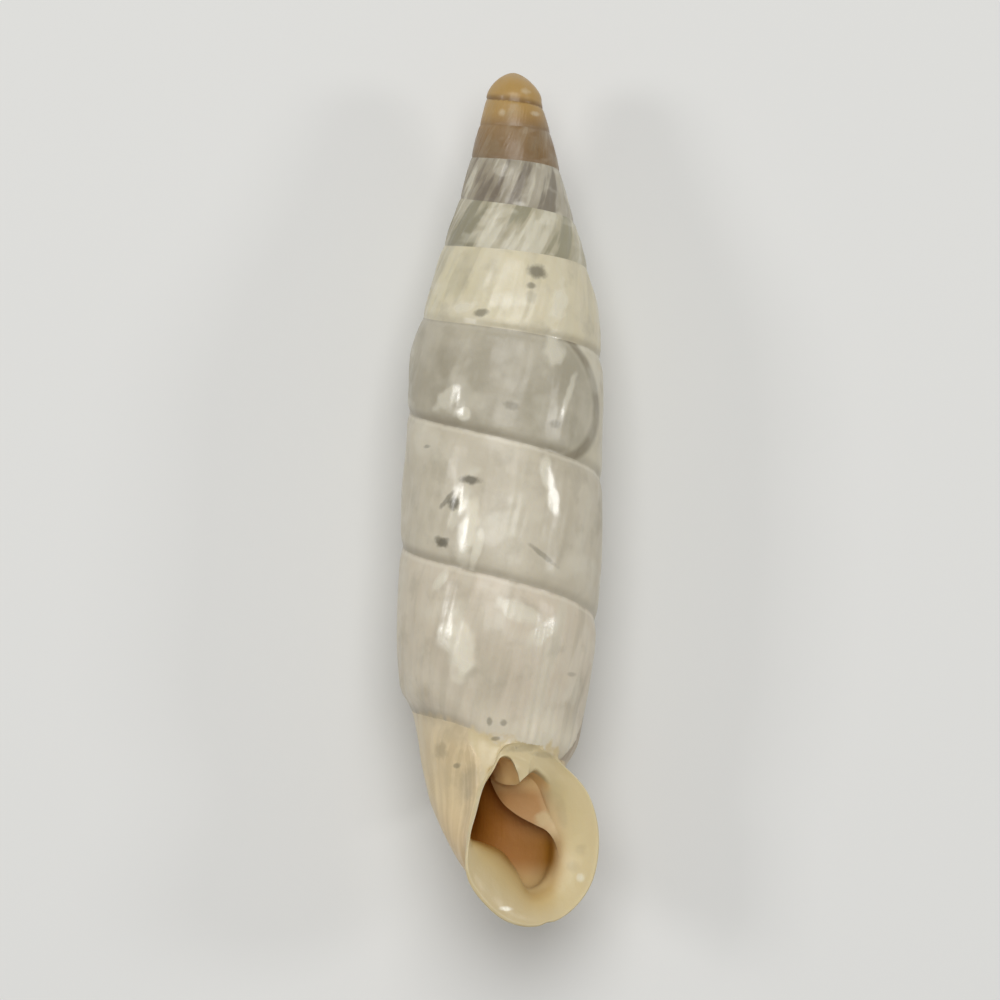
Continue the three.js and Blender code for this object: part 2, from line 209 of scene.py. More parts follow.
def whorl_points(column, part):
    """Points of the spindle at a column of the spiral and a share of the way down its whorl."""
    turn = column / COLUMNS
    top = suture_height(turn)
    height = top + (suture_height(turn + 1) - top) * part
    radius = spindle_radius(height)
    waist = np.exp(-((np.minimum(part, 1 - part) / SUTURE_WIDTH) ** 2))
    waist = waist * smooth_through(SUTURE_DEPTH, turn + np.round(part))
    belly = np.sin(math.pi * part)
    on = ease((turn - RELIEF_FROM) / RELIEF_OVER)
    radius = radius + on * DENT_DEPTH * dents(turn, part) * ease((turn - DENTS_FROM) / DENTS_OVER)
    radius = radius + on * (WHORL_BULGE * belly - waist * np.minimum(radius, 1))
    ribs = np.cos(2 * math.pi * RIBS_PER_TURN * (turn + RIB_LEAN * part))
    radius = radius + RIB_HEIGHT * smooth_through(RIBBED, turn) * np.abs(belly) ** RIB_ENDS * ribs
    foot_lines = FOOT_LINES
    for place, (begins, over) in ((part, FOOT_LINES_PART), (turn, FOOT_LINES_TURN)):
        foot_lines = foot_lines * ease((place - begins) / over)
    depth = smooth_through(GROWTH_DEPTH, turn) + foot_lines
    radius = radius + on * depth * np.abs(belly) ** GROWTH_ENDS * growth_lines(turn, part)
    radius = radius - smooth_through(TUCK, turn) * ease((part - TUCK_FROM) / (1 - TUCK_FROM))
    radius = radius - SINK_DEPTH * ease((turn - SINK_FROM) / (LAST_TURN - SINK_FROM))
    around = turn % 1
    down = (FRONT_TOP - height) / (FRONT_TOP - FRONT_FOOT)
    step = STEP_TOP + (STEP_FOOT - STEP_TOP) * np.clip(down, 0, STEP_RUNS_ON)
    front = ease(around / FRONT_FULL) * (1 - ease((around - step) / STEP_WIDTH))
    radius = radius + FRONT_RISE * front * ease(down)
    points = outward(turn) * np.maximum(radius, 0)[..., None]
    points[..., 2] = height
    points[..., 0] += smooth_through(WANDER, height)
    return points


def mesh_of(name, vertices, faces):
    """An object from numbered vertices, with vertices at the same place made one."""
    mesh = bpy.data.meshes.new(name)
    mesh.from_pydata([tuple(v) for v in vertices], [], faces)
    work = bmesh.new()
    work.from_mesh(mesh)
    bmesh.ops.remove_doubles(work, verts=work.verts, dist=SAME_PLACE)
    bmesh.ops.dissolve_degenerate(work, edges=work.edges, dist=TINY)
    bmesh.ops.recalc_face_normals(work, faces=work.faces)
    work.to_mesh(mesh)
    work.free()
    piece = bpy.data.objects.new(name, mesh)
    bpy.context.scene.collection.objects.link(piece)
    return piece


first_column = -COLUMNS
last_column = round(LAST_TURN * COLUMNS)
columns = np.arange(first_column, last_column + COLUMNS + 1)
band = whorl_points(*np.meshgrid(columns[:-COLUMNS], row_parts[:-1], indexing="ij"))
# No whorl follows the last one. Its free foot sinks and draws in as the rows above it do.
foot_edge = whorl_points(columns[-COLUMNS:].astype(float), 0 * columns[-COLUMNS:].astype(float))
foot_turns = columns[-COLUMNS:] / COLUMNS
sunk = SINK_DEPTH * ease((foot_turns - 1 - SINK_FROM) / (LAST_TURN - SINK_FROM))
unsunk = SINK_DEPTH * ease((foot_turns - SINK_FROM) / (LAST_TURN - SINK_FROM))
tucked = smooth_through(TUCK, foot_turns - 1)
foot_edge += outward(foot_turns) * (unsunk - sunk - tucked)[:, None]
spindle_points = [tuple(p) for p in band.reshape(-1, 3)] + [tuple(p) for p in foot_edge]
spindle_faces = []
band_columns = last_column - first_column + 1


def spindle_number(column, row):
    if row == ROWS:
        column, row = column + COLUMNS, 0
    if column < band_columns:
        return column * ROWS + row
    return band_columns * ROWS + column - band_columns


for column in range(band_columns - 1):
    for row in range(ROWS):
        corners = ((column, row), (column, row + 1), (column + 1, row + 1), (column + 1, row))
        spindle_faces.append([spindle_number(*corner) for corner in corners])
loop = [spindle_number(band_columns - 1, row) for row in range(ROWS)]
last_whorl = range(band_columns - 1, band_columns - COLUMNS - 1, -1)
loop += [spindle_number(column, ROWS) for column in last_whorl]
ring = loop
for k in range(1, BASE_RINGS + 1):
    angle = 0.5 * math.pi * k / (BASE_RINGS + 0.5)
    inner = []
    for number in loop:
        x, y, z = spindle_points[number]
        inner.append(len(spindle_points))
        scale = math.cos(angle)
        spindle_points.append((x * scale, y * scale, z - BASE_DROP * math.sin(angle)))
    for i in range(len(loop)):
        j = (i + 1) % len(loop)
        spindle_faces.append([ring[i], ring[j], inner[j], inner[i]])
    ring = inner
base_middle = len(spindle_points)
spindle_points.append((0, 0, float(suture_height(LAST_TURN + 1)) - BASE_DROP))
spindle_faces += [[ring[i], ring[(i + 1) % len(ring)], base_middle] for i in range(len(ring))]
spindle = mesh_of("spindle", spindle_points, spindle_faces)

# The neck and the lip. Over its last half turn the shell narrows to a neck, which leaves the last whorl
# at the back, comes round the left side, wrinkled, and opens forward as a trumpet with a turned-out lip.
MOUTH = np.array([0.62, -1.5, 1.75])
MOUTH_YAW = math.radians(28)
MOUTH_FACING = np.array([math.sin(MOUTH_YAW), -math.cos(MOUTH_YAW), 0])
# Outlines as seen from the front, (to the right, height), clockwise from the notch at the top: where the
# throat turns in, the lip's edge, and the neck just behind the lip. Each point of one answers to the same
# point of the others.
MOUTH_EDGE = [
    (0.26, 3.52), (0.8, 3.32), (1.14, 3.05), (1.38, 2.5), (1.56, 1.8), (1.5, 1.25), (1.3, 0.9),
    (1.0, 0.82), (0.74, 1.22), (0.4, 1.58), (0.0, 1.75), (-0.29, 1.87), (-0.23, 2.33),
    (-0.12, 2.82), (0.06, 3.26),
]
LIP_EDGE = [
    (0.28, 3.8), (0.9, 3.8), (1.55, 3.38), (2.06, 2.82), (2.3, 1.95), (2.18, 1.0), (1.68, 0.32),
    (1.0, 0.04), (0.36, 0.17), (-0.2, 0.66), (-0.44, 1.15), (-0.42, 1.8), (-0.3, 2.34),
    (-0.18, 2.85), (0.02, 3.34),
]
NECK_EDGE = [
    (0.3, 3.5), (0.75, 3.36), (1.22, 3.05), (1.54, 2.45), (1.62, 1.8), (1.53, 1.15), (1.2, 0.76),
    (0.69, 0.64), (0.27, 0.77), (-0.04, 1.07), (-0.25, 1.45), (-0.31, 1.82), (-0.24, 2.35),
    (-0.12, 2.85), (0.08, 3.28),
]
RING_POINTS = 160
SQUARENESS = 0.8
# Cross-sections of the neck's outside, and of the hollow deeper in: (turn, top, foot, outer, inner).
# top and foot are (distance from the axis, height), outer and inner the half-widths to either side.
NECK = [
    (8.3, (1.4, 6.0), (1.15, 3.7), 0.45, 0.6),
    (8.5, (1.6, 5.9), (0.92, 2.6), 0.59, 0.65),
    (8.625, (1.42, 5.3), (0.75, 2.1), 0.58, 0.6),
    (8.75, (1.35, 5.0), (0.43, 1.62), 0.5, 0.6),
]
INNER_WHORL = [
    (7.6, (1.3, 8.0), (1.25, 5.8), 0.35, 0.35),
    (7.75, (1.3, 7.5), (1.25, 5.1), 0.55, 0.5),
    (8.0, (1.3, 6.85), (1.2, 4.35), 0.55, 0.5),
    (8.2, (1.3, 6.2), (1.15, 3.75), 0.55, 0.5),
]
WALL = 0.15
# Rings round the mouth: (share of the way to the lip's edge, how far in front of the mouth's plane,
# growth). The first lists start at the neck's outline, the others where the throat turns in.
NECK_END = [(0, -0.6, 0.05), (0, -0.3, 0.06)]
LIP_BACK = [(0.4, -0.14, 0.05), (0.85, -0.08, 0.01), (0.99, -0.045, 0)]
LIP_FRONT = [(1.008, -0.015, 0), (1.0, 0.012, 0), (0.975, 0.03, 0), (0.7, 0.04, 0), (0.4, 0.045, 0)]
THROAT_RINGS = [
    (0, -0.6, -0.06), (0, -0.36, -0.03), (0.12, -0.22, 0), (0.3, -0.13, 0), (0.52, -0.055, 0),
    (0.74, -0.005, 0), (0.91, 0.022, 0), (0.985, 0.05, 0), (1.03, 0.12, 0),
]
NECK_STEPS = [16, 30, 30, 34, 12, 8, 8, 3, 3, 3, 3, 3, 3]
HOLLOW_STEPS = [8, 10, 10, 6, 10, 8, 8, 20, 10, 8, 6, 6, 6, 5, 3, 2]
WRINKLES = [(0, 0), (1, 0.005), (2, 0.006), (4, 0.003), (5, 0.001), (6, 0)]
FLAT_MIDDLE = 0.02
FLAT_REACH = 0.19
FLAT_FADE = 0.1
# The lip's one nick, near its foot: how far round it is, how deep and wide, and where on the lip it begins.
LIP_NICK = 0.44
LIP_NICK_DEPTH = 0.035
LIP_NICK_WIDTH = 0.009
LIP_NICK_FROM = 0.8
EMERGE_FROM = 8.3
EMERGED = 8.72
EMERGE_SUNK = 0.004


def section(turn, top, foot, outer, inner, thinner=0.0):
    """A ring round one cross-section of the coiled tube, in the upright plane through the axis."""
    top, foot = np.array(top), np.array(foot)
    half = (top - foot) / 2
    centre = top - half
    half = half * (1 - thinner / np.linalg.norm(half))
    across = np.array([half[1], -half[0]]) / np.linalg.norm(half)
    angle = np.arange(RING_POINTS) / RING_POINTS * 2 * math.pi
    along = np.sign(np.cos(angle)) * np.abs(np.cos(angle)) ** SQUARENESS
    width = np.where(angle < math.pi, thinner - inner, outer - thinner)
    flat = centre + half * along[:, None]
    flat = flat + across * (width * np.abs(np.sin(angle)) ** SQUARENESS)[:, None]
    points = outward(turn) * flat[:, :1]
    points[:, 2] = flat[:, 1]
    return points


# Towards its top the mouth's plane bends, till it lies just behind the front of the last whorl.
FACE_RADIUS = 1.79
FACE_BEHIND = 0.03
FACE_LEFT = 0.9
FACE_FOOT = 2.85
FACE_TOP = 3.6


def on_mouth(right, height):
    """A point given by how it is seen from the front, on the upright face of the mouth."""
    right, height = np.asarray(right, float), np.asarray(height, float)
    plane = MOUTH[1] + (right - MOUTH[0]) * math.tan(MOUTH_YAW)
    body = FACE_BEHIND - np.sqrt(np.maximum(FACE_RADIUS**2 - right**2, 0))
    bend = np.where(right < FACE_LEFT, body - plane, np.minimum(body - plane, 0))
    bend = bend * ease((height - FACE_FOOT) / (FACE_TOP - FACE_FOOT))
    return np.stack([right, plane + bend, height], axis=-1)


def closed_curve(points, count):
    """count places along a closed Catmull-Rom curve through the points."""
    points = np.array(points, float)
    at = np.arange(count) / count * len(points)
    i = at.astype(int)
    t = (at - i)[:, None]
    a, b, c, d = (points[(i + k) % len(points)] for k in (-1, 0, 1, 2))
    squared = (2 * a - 5 * b + 4 * c - d) * t**2
    return 0.5 * (2 * b + (c - a) * t + squared + (3 * b - 3 * c + d - a) * t**3)


def flat_part():
    """Where round the mouth the lip is flat and its edge crisp: at the top."""
    place = np.arange(RING_POINTS) / RING_POINTS
    place = np.where(place > FLAT_MIDDLE + 0.5, place - 1, place)
    return ease((FLAT_REACH - np.abs(place - FLAT_MIDDLE)) / FLAT_FADE)


def mouth_ring(share, forward, grow, start=MOUTH_EDGE):
    """A ring round the mouth, placed as the lists above say."""
    mouth = on_mouth(*np.array(start).T)
    lip = on_mouth(*np.array(LIP_EDGE).T)
    ring = closed_curve(mouth + (lip - mouth) * share, RING_POINTS)
    out = ring - MOUTH
    out /= np.linalg.norm(out, axis=1, keepdims=True)
    place = np.arange(RING_POINTS) / RING_POINTS
    nick = LIP_NICK_DEPTH * np.exp(-(((place - LIP_NICK) / LIP_NICK_WIDTH) ** 2))
    nick *= ease((share - LIP_NICK_FROM) / (1 - LIP_NICK_FROM))
    forward = np.full(RING_POINTS, forward)
    if start is MOUTH_EDGE and share > 0:
        forward = forward + (np.maximum(forward, 0) - forward) * flat_part()
    return ring + out * (grow - nick)[:, None] + MOUTH_FACING * forward[:, None]


def through(rings, steps):
    """Rings smoothly filled in between the given ones, with steps[i] of them after ring i."""
    rings = np.array(rings)
    ends = [2 * rings[0] - rings[1], 2 * rings[-1] - rings[-2]]
    known = np.concatenate([ends[:1], rings, ends[1:]])
    filled = []
    for i, count in enumerate(steps):
        a, b, c, d = known[i : i + 4]
        before, span, after = (
            np.maximum(np.linalg.norm(q - p, axis=1, keepdims=True), TINY) ** 0.5
            for p, q in ((a, b), (b, c), (c, d))
        )
        start = ((b - a) / before - (c - a) / (before + span) + (c - b) / span) * span
        end = ((c - b) / span - (d - b) / (span + after) + (d - c) / after) * span
        for k in range(count):
            t = k / count
            filled.append(
                (2 * t**3 - 3 * t**2 + 1) * b
                + (t**3 - 2 * t**2 + t) * start
                + (3 * t**2 - 2 * t**3) * c
                + (t**3 - t**2) * end
            )
    return [*filled, rings[-1]]


def loft(name, rings):
    """A closed solid from rings of points, one after another along a path."""
    count = len(rings[0])
    points = [tuple(p) for ring in rings for p in ring]
    faces = []
    for i in range(len(rings) - 1):
        for j in range(count):
            k = (j + 1) % count
            faces.append([i * count + k, i * count + j, (i + 1) * count + j, (i + 1) * count + k])
    for end in (0, len(rings) - 1):
        points.append(tuple(np.mean(rings[end], axis=0)))
        for j in range(count):
            pair = [end * count + j, end * count + (j + 1) % count]
            faces.append([*(pair[::-1] if end else pair), len(points) - 1])
    return mesh_of(name, points, faces)


def emerging(ring):
    """Holds the start of the neck just under the whorl's side, so that it comes out of it smoothly."""
    radius = np.linalg.norm(ring[:, :2], axis=1)
    turn = 8 + share_of_turn(ring[:, 0], ring[:, 1])
    body = spindle_radius(ring[:, 2]) + WHORL_BULGE / 2
    free = ease((turn - EMERGE_FROM) / (EMERGED - EMERGE_FROM))
    held = np.where(radius > body, body - EMERGE_SUNK * (1 - free) + (radius - body) * free, radius)
    held = np.where(turn < EMERGED, held, radius)
    scaled = ring.copy()
    scaled[:, :2] *= (held / radius)[:, None]
    return scaled


ROUNDED_TURNS = (8.74, 8.985)
ROUNDED_BY = 0.2
ROUNDED_OUTSIDE = 1.0
ROUNDED_OVER = 0.25
ROUNDED_FADE = 45


def rounded_out(ring, share):
    """Makes the neck's side convex between the left and the lip, where it would be flat."""
    radius = np.linalg.norm(ring[:, :2], axis=1)
    turn = 8 + share_of_turn(ring[:, 0], ring[:, 1])
    start, end = ROUNDED_TURNS
    along = np.clip((turn - start) / (end - start), 0, 1)
    push = share * ROUNDED_BY * np.sin(math.pi * along) * ease((radius - ROUNDED_OUTSIDE) / ROUNDED_OVER)
    pushed = ring.copy()
    pushed[:, :2] *= (1 + push / radius)[:, None]
    return pushed


neck_rings = [section(*values) for values in NECK]
neck_rings += [mouth_ring(*values, start=NECK_EDGE) for values in NECK_END + LIP_BACK]
neck_rings += [mouth_ring(*values) for values in LIP_FRONT]
neck_rings = through(neck_rings, NECK_STEPS)
neck_span = sum(NECK_STEPS[: len(NECK)])
emerging_span = sum(NECK_STEPS[: len(NECK) - 1])
wrinkled_stages = NECK_STEPS[: WRINKLES[-1][0]]
stage_starts = np.cumsum([0, *wrinkled_stages])
# Each ring counts as this much of a turn for the growth lines.
NECK_RING_STEP = 1 / 90
for n in range(neck_span):
    middle = neck_rings[n].mean(axis=0)
    stage = np.interp(n, stage_starts, range(len(stage_starts)))
    lines = float(growth_lines(np.array(n * NECK_RING_STEP), np.array(0.0)))
    wrinkle = smooth_through(WRINKLES, stage) * lines
    neck_rings[n] = middle + (neck_rings[n] - middle) * (1 + wrinkle)
    if n < emerging_span:
        neck_rings[n] = emerging(neck_rings[n])
    neck_rings[n] = rounded_out(neck_rings[n], float(ease((neck_span - n) / ROUNDED_FADE)))
neck = loft("neck", neck_rings)

# Under the suture the neck starts as wide as the foot above it. This collar fills the corner between
# them. It starts inside the foot, and ends just inside the neck's side.
COLLAR_RINGS = 160
COLLAR_TURNS = np.linspace(8.5, 9.03, COLLAR_RINGS)
COLLAR_LENGTH = [
    (8.5, 1.1), (8.7, 1.4), (8.8, 1.5), (8.9, 1.75), (8.95, 1.7), (8.97, 1.5), (8.98, 1.2), (8.99, 0.8),
    (9.0, 0.5), (9.03, 0.32),
]
COLLAR_INSET = [
    (8.5, 0.16), (8.62, 0.06), (8.86, 0.05), (8.93, 0.04), (8.96, 0.02), (9.0, 0.02), (9.03, 0.04),
]
COLLAR_ABOVE = 0.15
COLLAR_ROWS = 26
COLLAR_CORE = 0.9
COLLAR_SUNK = 0.006
COLLAR_WRINKLE = 0.012
FAR_OUT = 4.0
scene_now = bpy.context.evaluated_depsgraph_get()
grown_parts = [BVHTree.FromObject(piece, scene_now) for piece in (spindle, neck)]


def outermost(turn, height):
    """How far out the shell reaches at a turn and a height."""
    way = Vector(outward(turn))
    start = way * FAR_OUT + Vector((0, 0, height))
    hits = [tree.ray_cast(start, -way) for tree in grown_parts]
    gaps = [hit[3] for hit in hits if hit[0] is not None]
    return FAR_OUT - min(gaps, default=FAR_OUT - COLLAR_CORE)


collar_rings = []
for turn in COLLAR_TURNS:
    top = float(suture_height(turn))
    length = float(smooth_through(COLLAR_LENGTH, turn))
    rim = outermost(turn, top + SUTURE_WIDTH) - float(smooth_through(COLLAR_INSET, turn))
    foot = outermost(turn, top - length) - COLLAR_SUNK
    side = []
    for k in range(COLLAR_ROWS):
        down = (length + COLLAR_ABOVE) * k / (COLLAR_ROWS - 1) - COLLAR_ABOVE
        into_neck = float(ease(down / length))
        wrinkle = COLLAR_WRINKLE * float(growth_lines(turn, 0.0)) * into_neck * (1 - into_neck)
        out = rim + (foot - rim) * into_neck + wrinkle
        side.append(outward(turn) * out + np.array([0, 0, top - down]))
    side.append(outward(turn) * COLLAR_CORE + np.array([0, 0, top - length]))
    side.append(outward(turn) * COLLAR_CORE + np.array([0, 0, top + COLLAR_ABOVE]))
    collar_rings.append(np.array(side))
collar = loft("collar", collar_rings)

hollow_rings = [section(*values) for values in INNER_WHORL]
hollow_rings += [section(*values, thinner=WALL) for values in NECK]
hollow_rings += [mouth_ring(*values) for values in THROAT_RINGS]
hollow = loft("hollow", through(hollow_rings, HOLLOW_STEPS))

# The two folds in the mouth, which grew with the wall: a tooth under the top edge, whose ridge runs in
# to the left, and a broad plate from the columella side. The hollow is cut round both.
TOOTH_FACE = [
    (0.36, 3.6), (0.42, 3.46), (0.5, 3.33), (0.56, 3.2), (0.6, 3.03), (0.68, 3.11), (0.77, 3.2),
    (0.87, 3.27), (0.92, 3.46),
]
TOOTH_TIP = 4
# (depth behind the mouth, to the right, height) of the ridge that the tooth's tip is the end of.
RIDGE = [(-0.045, 0.6, 3.03), (0.08, 0.6, 3.02), (0.3, 0.5, 2.97), (0.7, 0.24, 2.99), (1.2, -0.08, 3.16)]
TOOTH_TOP = 3.8
# How much deeper the tooth's face lies at each height: above its tip it goes into the lip.
TOOTH_SUNK = [(3.0, 0.0), (3.25, 0.012), (3.45, 0.04), (3.6, 0.07), (3.8, 0.09)]
# (to the right, height, depth behind the mouth) of the plate's free edge, and of where it leaves the wall.
PLATE_EDGE = [
    (-0.05, 3.15, 1.3), (0.12, 2.8, 1.1), (0.3, 2.56, 0.9), (0.6, 2.34, 0.7), (0.95, 2.17, 0.5),
    (1.2, 2.05, 0.38), (1.36, 1.86, 0.32), (1.45, 1.62, 0.3), (1.5, 1.3, 0.3),
]
PLATE_ROOT = [
    (0.3, 3.75, 0.5), (0.6, 3.75, 0.44), (0.9, 3.7, 0.3), (1.3, 3.5, 0.18), (1.6, 3.2, 0.16),
    (1.8, 2.8, 0.14), (1.9, 2.4, 0.13), (1.95, 1.9, 0.13), (1.95, 1.4, 0.14),
]
PLATE_DEPTH = np.array([0, 1.6, 0.45])
PLATE_HOLLOW = 0.03
PLATE_ROWS = 16
FOLD_STEPS = 8


def behind(right, height, depth):
    """A point at a depth behind the mouth's face."""
    return on_mouth(right, height) + np.array([0, depth, 0])


tooth_rings = []
tip_right, tip_height = TOOTH_FACE[TOOTH_TIP]
for depth, right, height in RIDGE:
    edge = []
    for x, z in TOOTH_FACE:
        near_tip = ease((TOOTH_FACE[0][1] - z) / (TOOTH_FACE[0][1] - tip_height))
        sunk = float(smooth_through(TOOTH_SUNK, z))
        lowered = z + (height - tip_height) * near_tip
        edge.append(behind(x + right - tip_right, lowered, depth + sunk))
    for x, _ in (TOOTH_FACE[-1], TOOTH_FACE[0]):
        edge.append(behind(x + right - tip_right, TOOTH_TOP, depth + sunk))
    tooth_rings.append(np.array(edge))
tooth = loft("tooth", through(tooth_rings, [FOLD_STEPS] * (len(tooth_rings) - 1)))

plate_rings = []
for free_end, root_end in zip(PLATE_EDGE, PLATE_ROOT):
    free, root = behind(*free_end), behind(*root_end)
    side = []
    for k in range(PLATE_ROWS):
        t = k / (PLATE_ROWS - 1)
        dip = PLATE_HOLLOW * math.sin(math.pi * t)
        side.append(free + (root - free) * t + np.array([0, dip, 0]))
    plate_rings.append(np.array([*side, root + PLATE_DEPTH, free + PLATE_DEPTH]))
plate = loft("plate", through(plate_rings, [FOLD_STEPS] * (len(plate_rings) - 1)))


def combined(piece, other, operation):
    """The piece joined with or cut by another, which is used up."""
    cut = piece.modifiers.new("join", "BOOLEAN")
    cut.operation = operation
    cut.solver = "MANIFOLD"
    cut.object = other
    evaluated = piece.evaluated_get(bpy.context.evaluated_depsgraph_get())
    mesh = bpy.data.meshes.new_from_object(evaluated)
    piece.modifiers.clear()
    piece.data = mesh
    bpy.data.objects.remove(other)
    return piece


def points_of(piece):
    flat = np.zeros(3 * len(piece.data.vertices))
    piece.data.vertices.foreach_get("co", flat)
    return flat.reshape(-1, 3)


known = [points_of(piece) for piece in (spindle, neck, hollow, tooth, plate, collar)]
SPINDLE_KIND, NECK_KIND, TOOTH_KIND, PLATE_KIND, COLLAR_KIND = 0, 1, 3, 4, 5
# The plate's face counts as no deeper than this for its colour.
PLATE_FACE_DEPTH = 0.42
hollow = combined(hollow, tooth, "DIFFERENCE")
hollow = combined(hollow, plate, "DIFFERENCE")
shell = combined(spindle, combined(neck, collar, "UNION"), "UNION")
shell = combined(shell, hollow, "DIFFERENCE")

# Where its parts have grown together the shell is rounded off, and its folds' edges are a little blunt.
# Both fade out over a distance from the seam.
FILLET = 0.2
FILLET_WEIGHT = 0.6
FILLET_ROUNDS = 22
COLLAR_FILLET = 0.8
BLUNT = 0.07
BLUNT_WEIGHT = 0.5
BLUNT_ROUNDS = 5
FADE_FROM = 1.3
JOINED = 1e-4
SHARP = math.radians(48)
work = bmesh.new()
work.from_mesh(shell.data)
bmesh.ops.remove_doubles(work, verts=work.verts, dist=JOINED)
bmesh.ops.triangulate(work, faces=work.faces)
bmesh.ops.dissolve_degenerate(work, edges=work.edges, dist=JOINED)
work.to_mesh(shell.data)
upright = points_of(shell)
edges = np.zeros(2 * len(shell.data.edges), int)
shell.data.edges.foreach_get("vertices", edges)
edges = edges.reshape(-1, 2)


def nearest(points, targets):
    """For each point the number of the nearest target, and how far off it is."""
    tree = KDTree(len(targets))
    for number, target in enumerate(targets):
        tree.insert(target, number)
    tree.balance()
    found = [tree.find(point) for point in points]
    return np.array([one[1] for one in found]), np.array([one[2] for one in found])


kinds = np.concatenate([np.full(len(points), kind) for kind, points in enumerate(known)])
matched, _ = nearest(upright, np.concatenate(known))
kind = kinds[matched]


def smoothed(points, weight, rounds):
    """Each point drawn by its weight towards the middle of its neighbours, a number of times."""
    count = np.bincount(edges.ravel(), minlength=len(points))[:, None]
    for _ in range(rounds):
        total = np.zeros_like(points)
        np.add.at(total, edges[:, 0], points[edges[:, 1]])
        np.add.at(total, edges[:, 1], points[edges[:, 0]])
        points = points + weight[:, None] * (total / np.maximum(count, 1) - points)
    return points


def seam_between(one, other):
    """The points along the edges where two kinds of surface meet."""
    a, b = kind[edges[:, 0]], kind[edges[:, 1]]
    meets = (one(a) & other(b)) | (one(b) & other(a))
    return upright[np.unique(edges[meets])]


collar_seam = seam_between(lambda k: k == COLLAR_KIND, lambda k: k == NECK_KIND)
_, off_collar = nearest(upright, collar_seam)
kind = np.where(kind == COLLAR_KIND, NECK_KIND, kind)
outer_seam = seam_between(lambda k: k == SPINDLE_KIND, lambda k: k == NECK_KIND)
fold_seam = seam_between(lambda k: k == TOOTH_KIND, lambda k: k != TOOTH_KIND)
_, off_outer = nearest(upright, outer_seam)
_, off_fold = nearest(upright, fold_seam)
on_outside = (kind <= NECK_KIND).astype(float)
off_seams = np.minimum(off_outer, COLLAR_FILLET * off_collar)
fillet_weight = FILLET_WEIGHT * ease(FADE_FROM - off_seams / FILLET) * on_outside
upright = smoothed(upright, fillet_weight, FILLET_ROUNDS)
upright = smoothed(upright, BLUNT_WEIGHT * ease(FADE_FROM - off_fold / BLUNT), BLUNT_ROUNDS)
work.verts.ensure_lookup_table()
for vertex, place in zip(work.verts, upright):
    vertex.co = place
for edge in work.edges:
    edge.smooth = edge.is_manifold and edge.calc_face_angle(0) < SHARP
for face in work.faces:
    face.smooth = True

# The shell as it lies. Empty, it rests on its back with the mouth up, its tip a little down.
REST_PITCH = math.radians(0.4)
MM = 0.001
up = -np.array([0, 1, math.tan(REST_PITCH)])
up /= np.linalg.norm(up)
tipward = np.array([0, 0, 1]) - up * up[2]
tipward /= np.linalg.norm(tipward)
laid = np.array([tipward, np.cross(up, tipward), up])
mesh = bpy.data.meshes.new("shell")
work.to_mesh(mesh)
work.free()
lying = upright @ laid.T
low, high = lying.min(axis=0), lying.max(axis=0)
cad_low, cad_high = (np.array(corner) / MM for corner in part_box("shell"))
shift = np.array([*((cad_low + cad_high) / 2 - (low + high) / 2)[:2], cad_high[2] - high[2]])
mesh.vertices.foreach_set("co", ((lying + shift) * MM).ravel())
shell.data = mesh
shell.name = "whole_shell"
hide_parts("shell")
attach(shell, "root")

# What the finish follows: where each point lies along the spiral and across its whorl, where it is on the
# upright shell, and how far it is round the neck and down the throat.
ALONG_SMOOTHING = 0.9
ALONG_ROUNDS = 40
# Lower than the last whorl's foot all is neck, and counts as this much further off the body per millimetre.
BELOW_FOOT = 4.0
NOT_IN_THROAT = -1.0
wander = smooth_through(WANDER, upright[:, 2])
around = share_of_turn(upright[:, 0] - wander, upright[:, 1])
suture_tops = suture_height(np.arange(-1, 9)[:, None] + around)
whorl = np.maximum((suture_tops >= upright[:, 2]).sum(axis=0) - 1, 0)
whorl_top = suture_tops[whorl, np.arange(len(upright))]
whorl_foot = suture_height(whorl + around)
part_down = np.clip((whorl_top - upright[:, 2]) / np.maximum(whorl_top - whorl_foot, TINY), 0, 1)
on_spiral = np.stack([upright[:, 0] - wander, upright[:, 1], whorl - 1 + around + part_down], axis=-1)
throat_depth = np.where(kind > NECK_KIND, (MOUTH - upright) @ MOUTH_FACING, NOT_IN_THROAT)
plate_number = matched - sum(len(points) for points in known[:PLATE_KIND])
plate_face = (kind == PLATE_KIND) & (plate_number % (PLATE_ROWS + 2) < PLATE_ROWS)
throat_depth = np.where(plate_face, np.minimum(throat_depth, PLATE_FACE_DEPTH), throat_depth)
neck_point, _ = nearest(upright, known[NECK_KIND])
neck_ring = np.minimum(neck_point // RING_POINTS, len(neck_rings) - 1)
neck_along = np.where(kind > NECK_KIND, len(neck_rings), neck_ring)[:, None] * NECK_RING_STEP
neck_along = smoothed(neck_along, ALONG_SMOOTHING * (kind == SPINDLE_KIND), ALONG_ROUNDS)[:, 0]
foot_turn = np.where(around < LAST_TURN % 1, 9 + around, 8 + around)
below_foot = np.minimum(BELOW_FOOT * (suture_height(foot_turn) - upright[:, 2]), 1)
off_body = np.maximum(np.where(kind == SPINDLE_KIND, -off_outer, off_outer), below_foot)
grown = np.stack([neck_along, throat_depth, off_body], axis=-1)
for name, values in (("on_spiral", on_spiral), ("upright", upright), ("made", grown)):
    written = mesh.attributes.new(name, "FLOAT_VECTOR", "POINT")
    written.data.foreach_set("vector", values.astype(np.float32).ravel())


def paint(red, green, blue):
    """A colour as it looks, 0 to 255, in the shader's own numbers."""
    shares = (value / 255 for value in (red, green, blue))
    return (*(v / 12.92 if v < 0.04045 else ((v + 0.055) / 1.055) ** 2.4 for v in shares), 1.0)


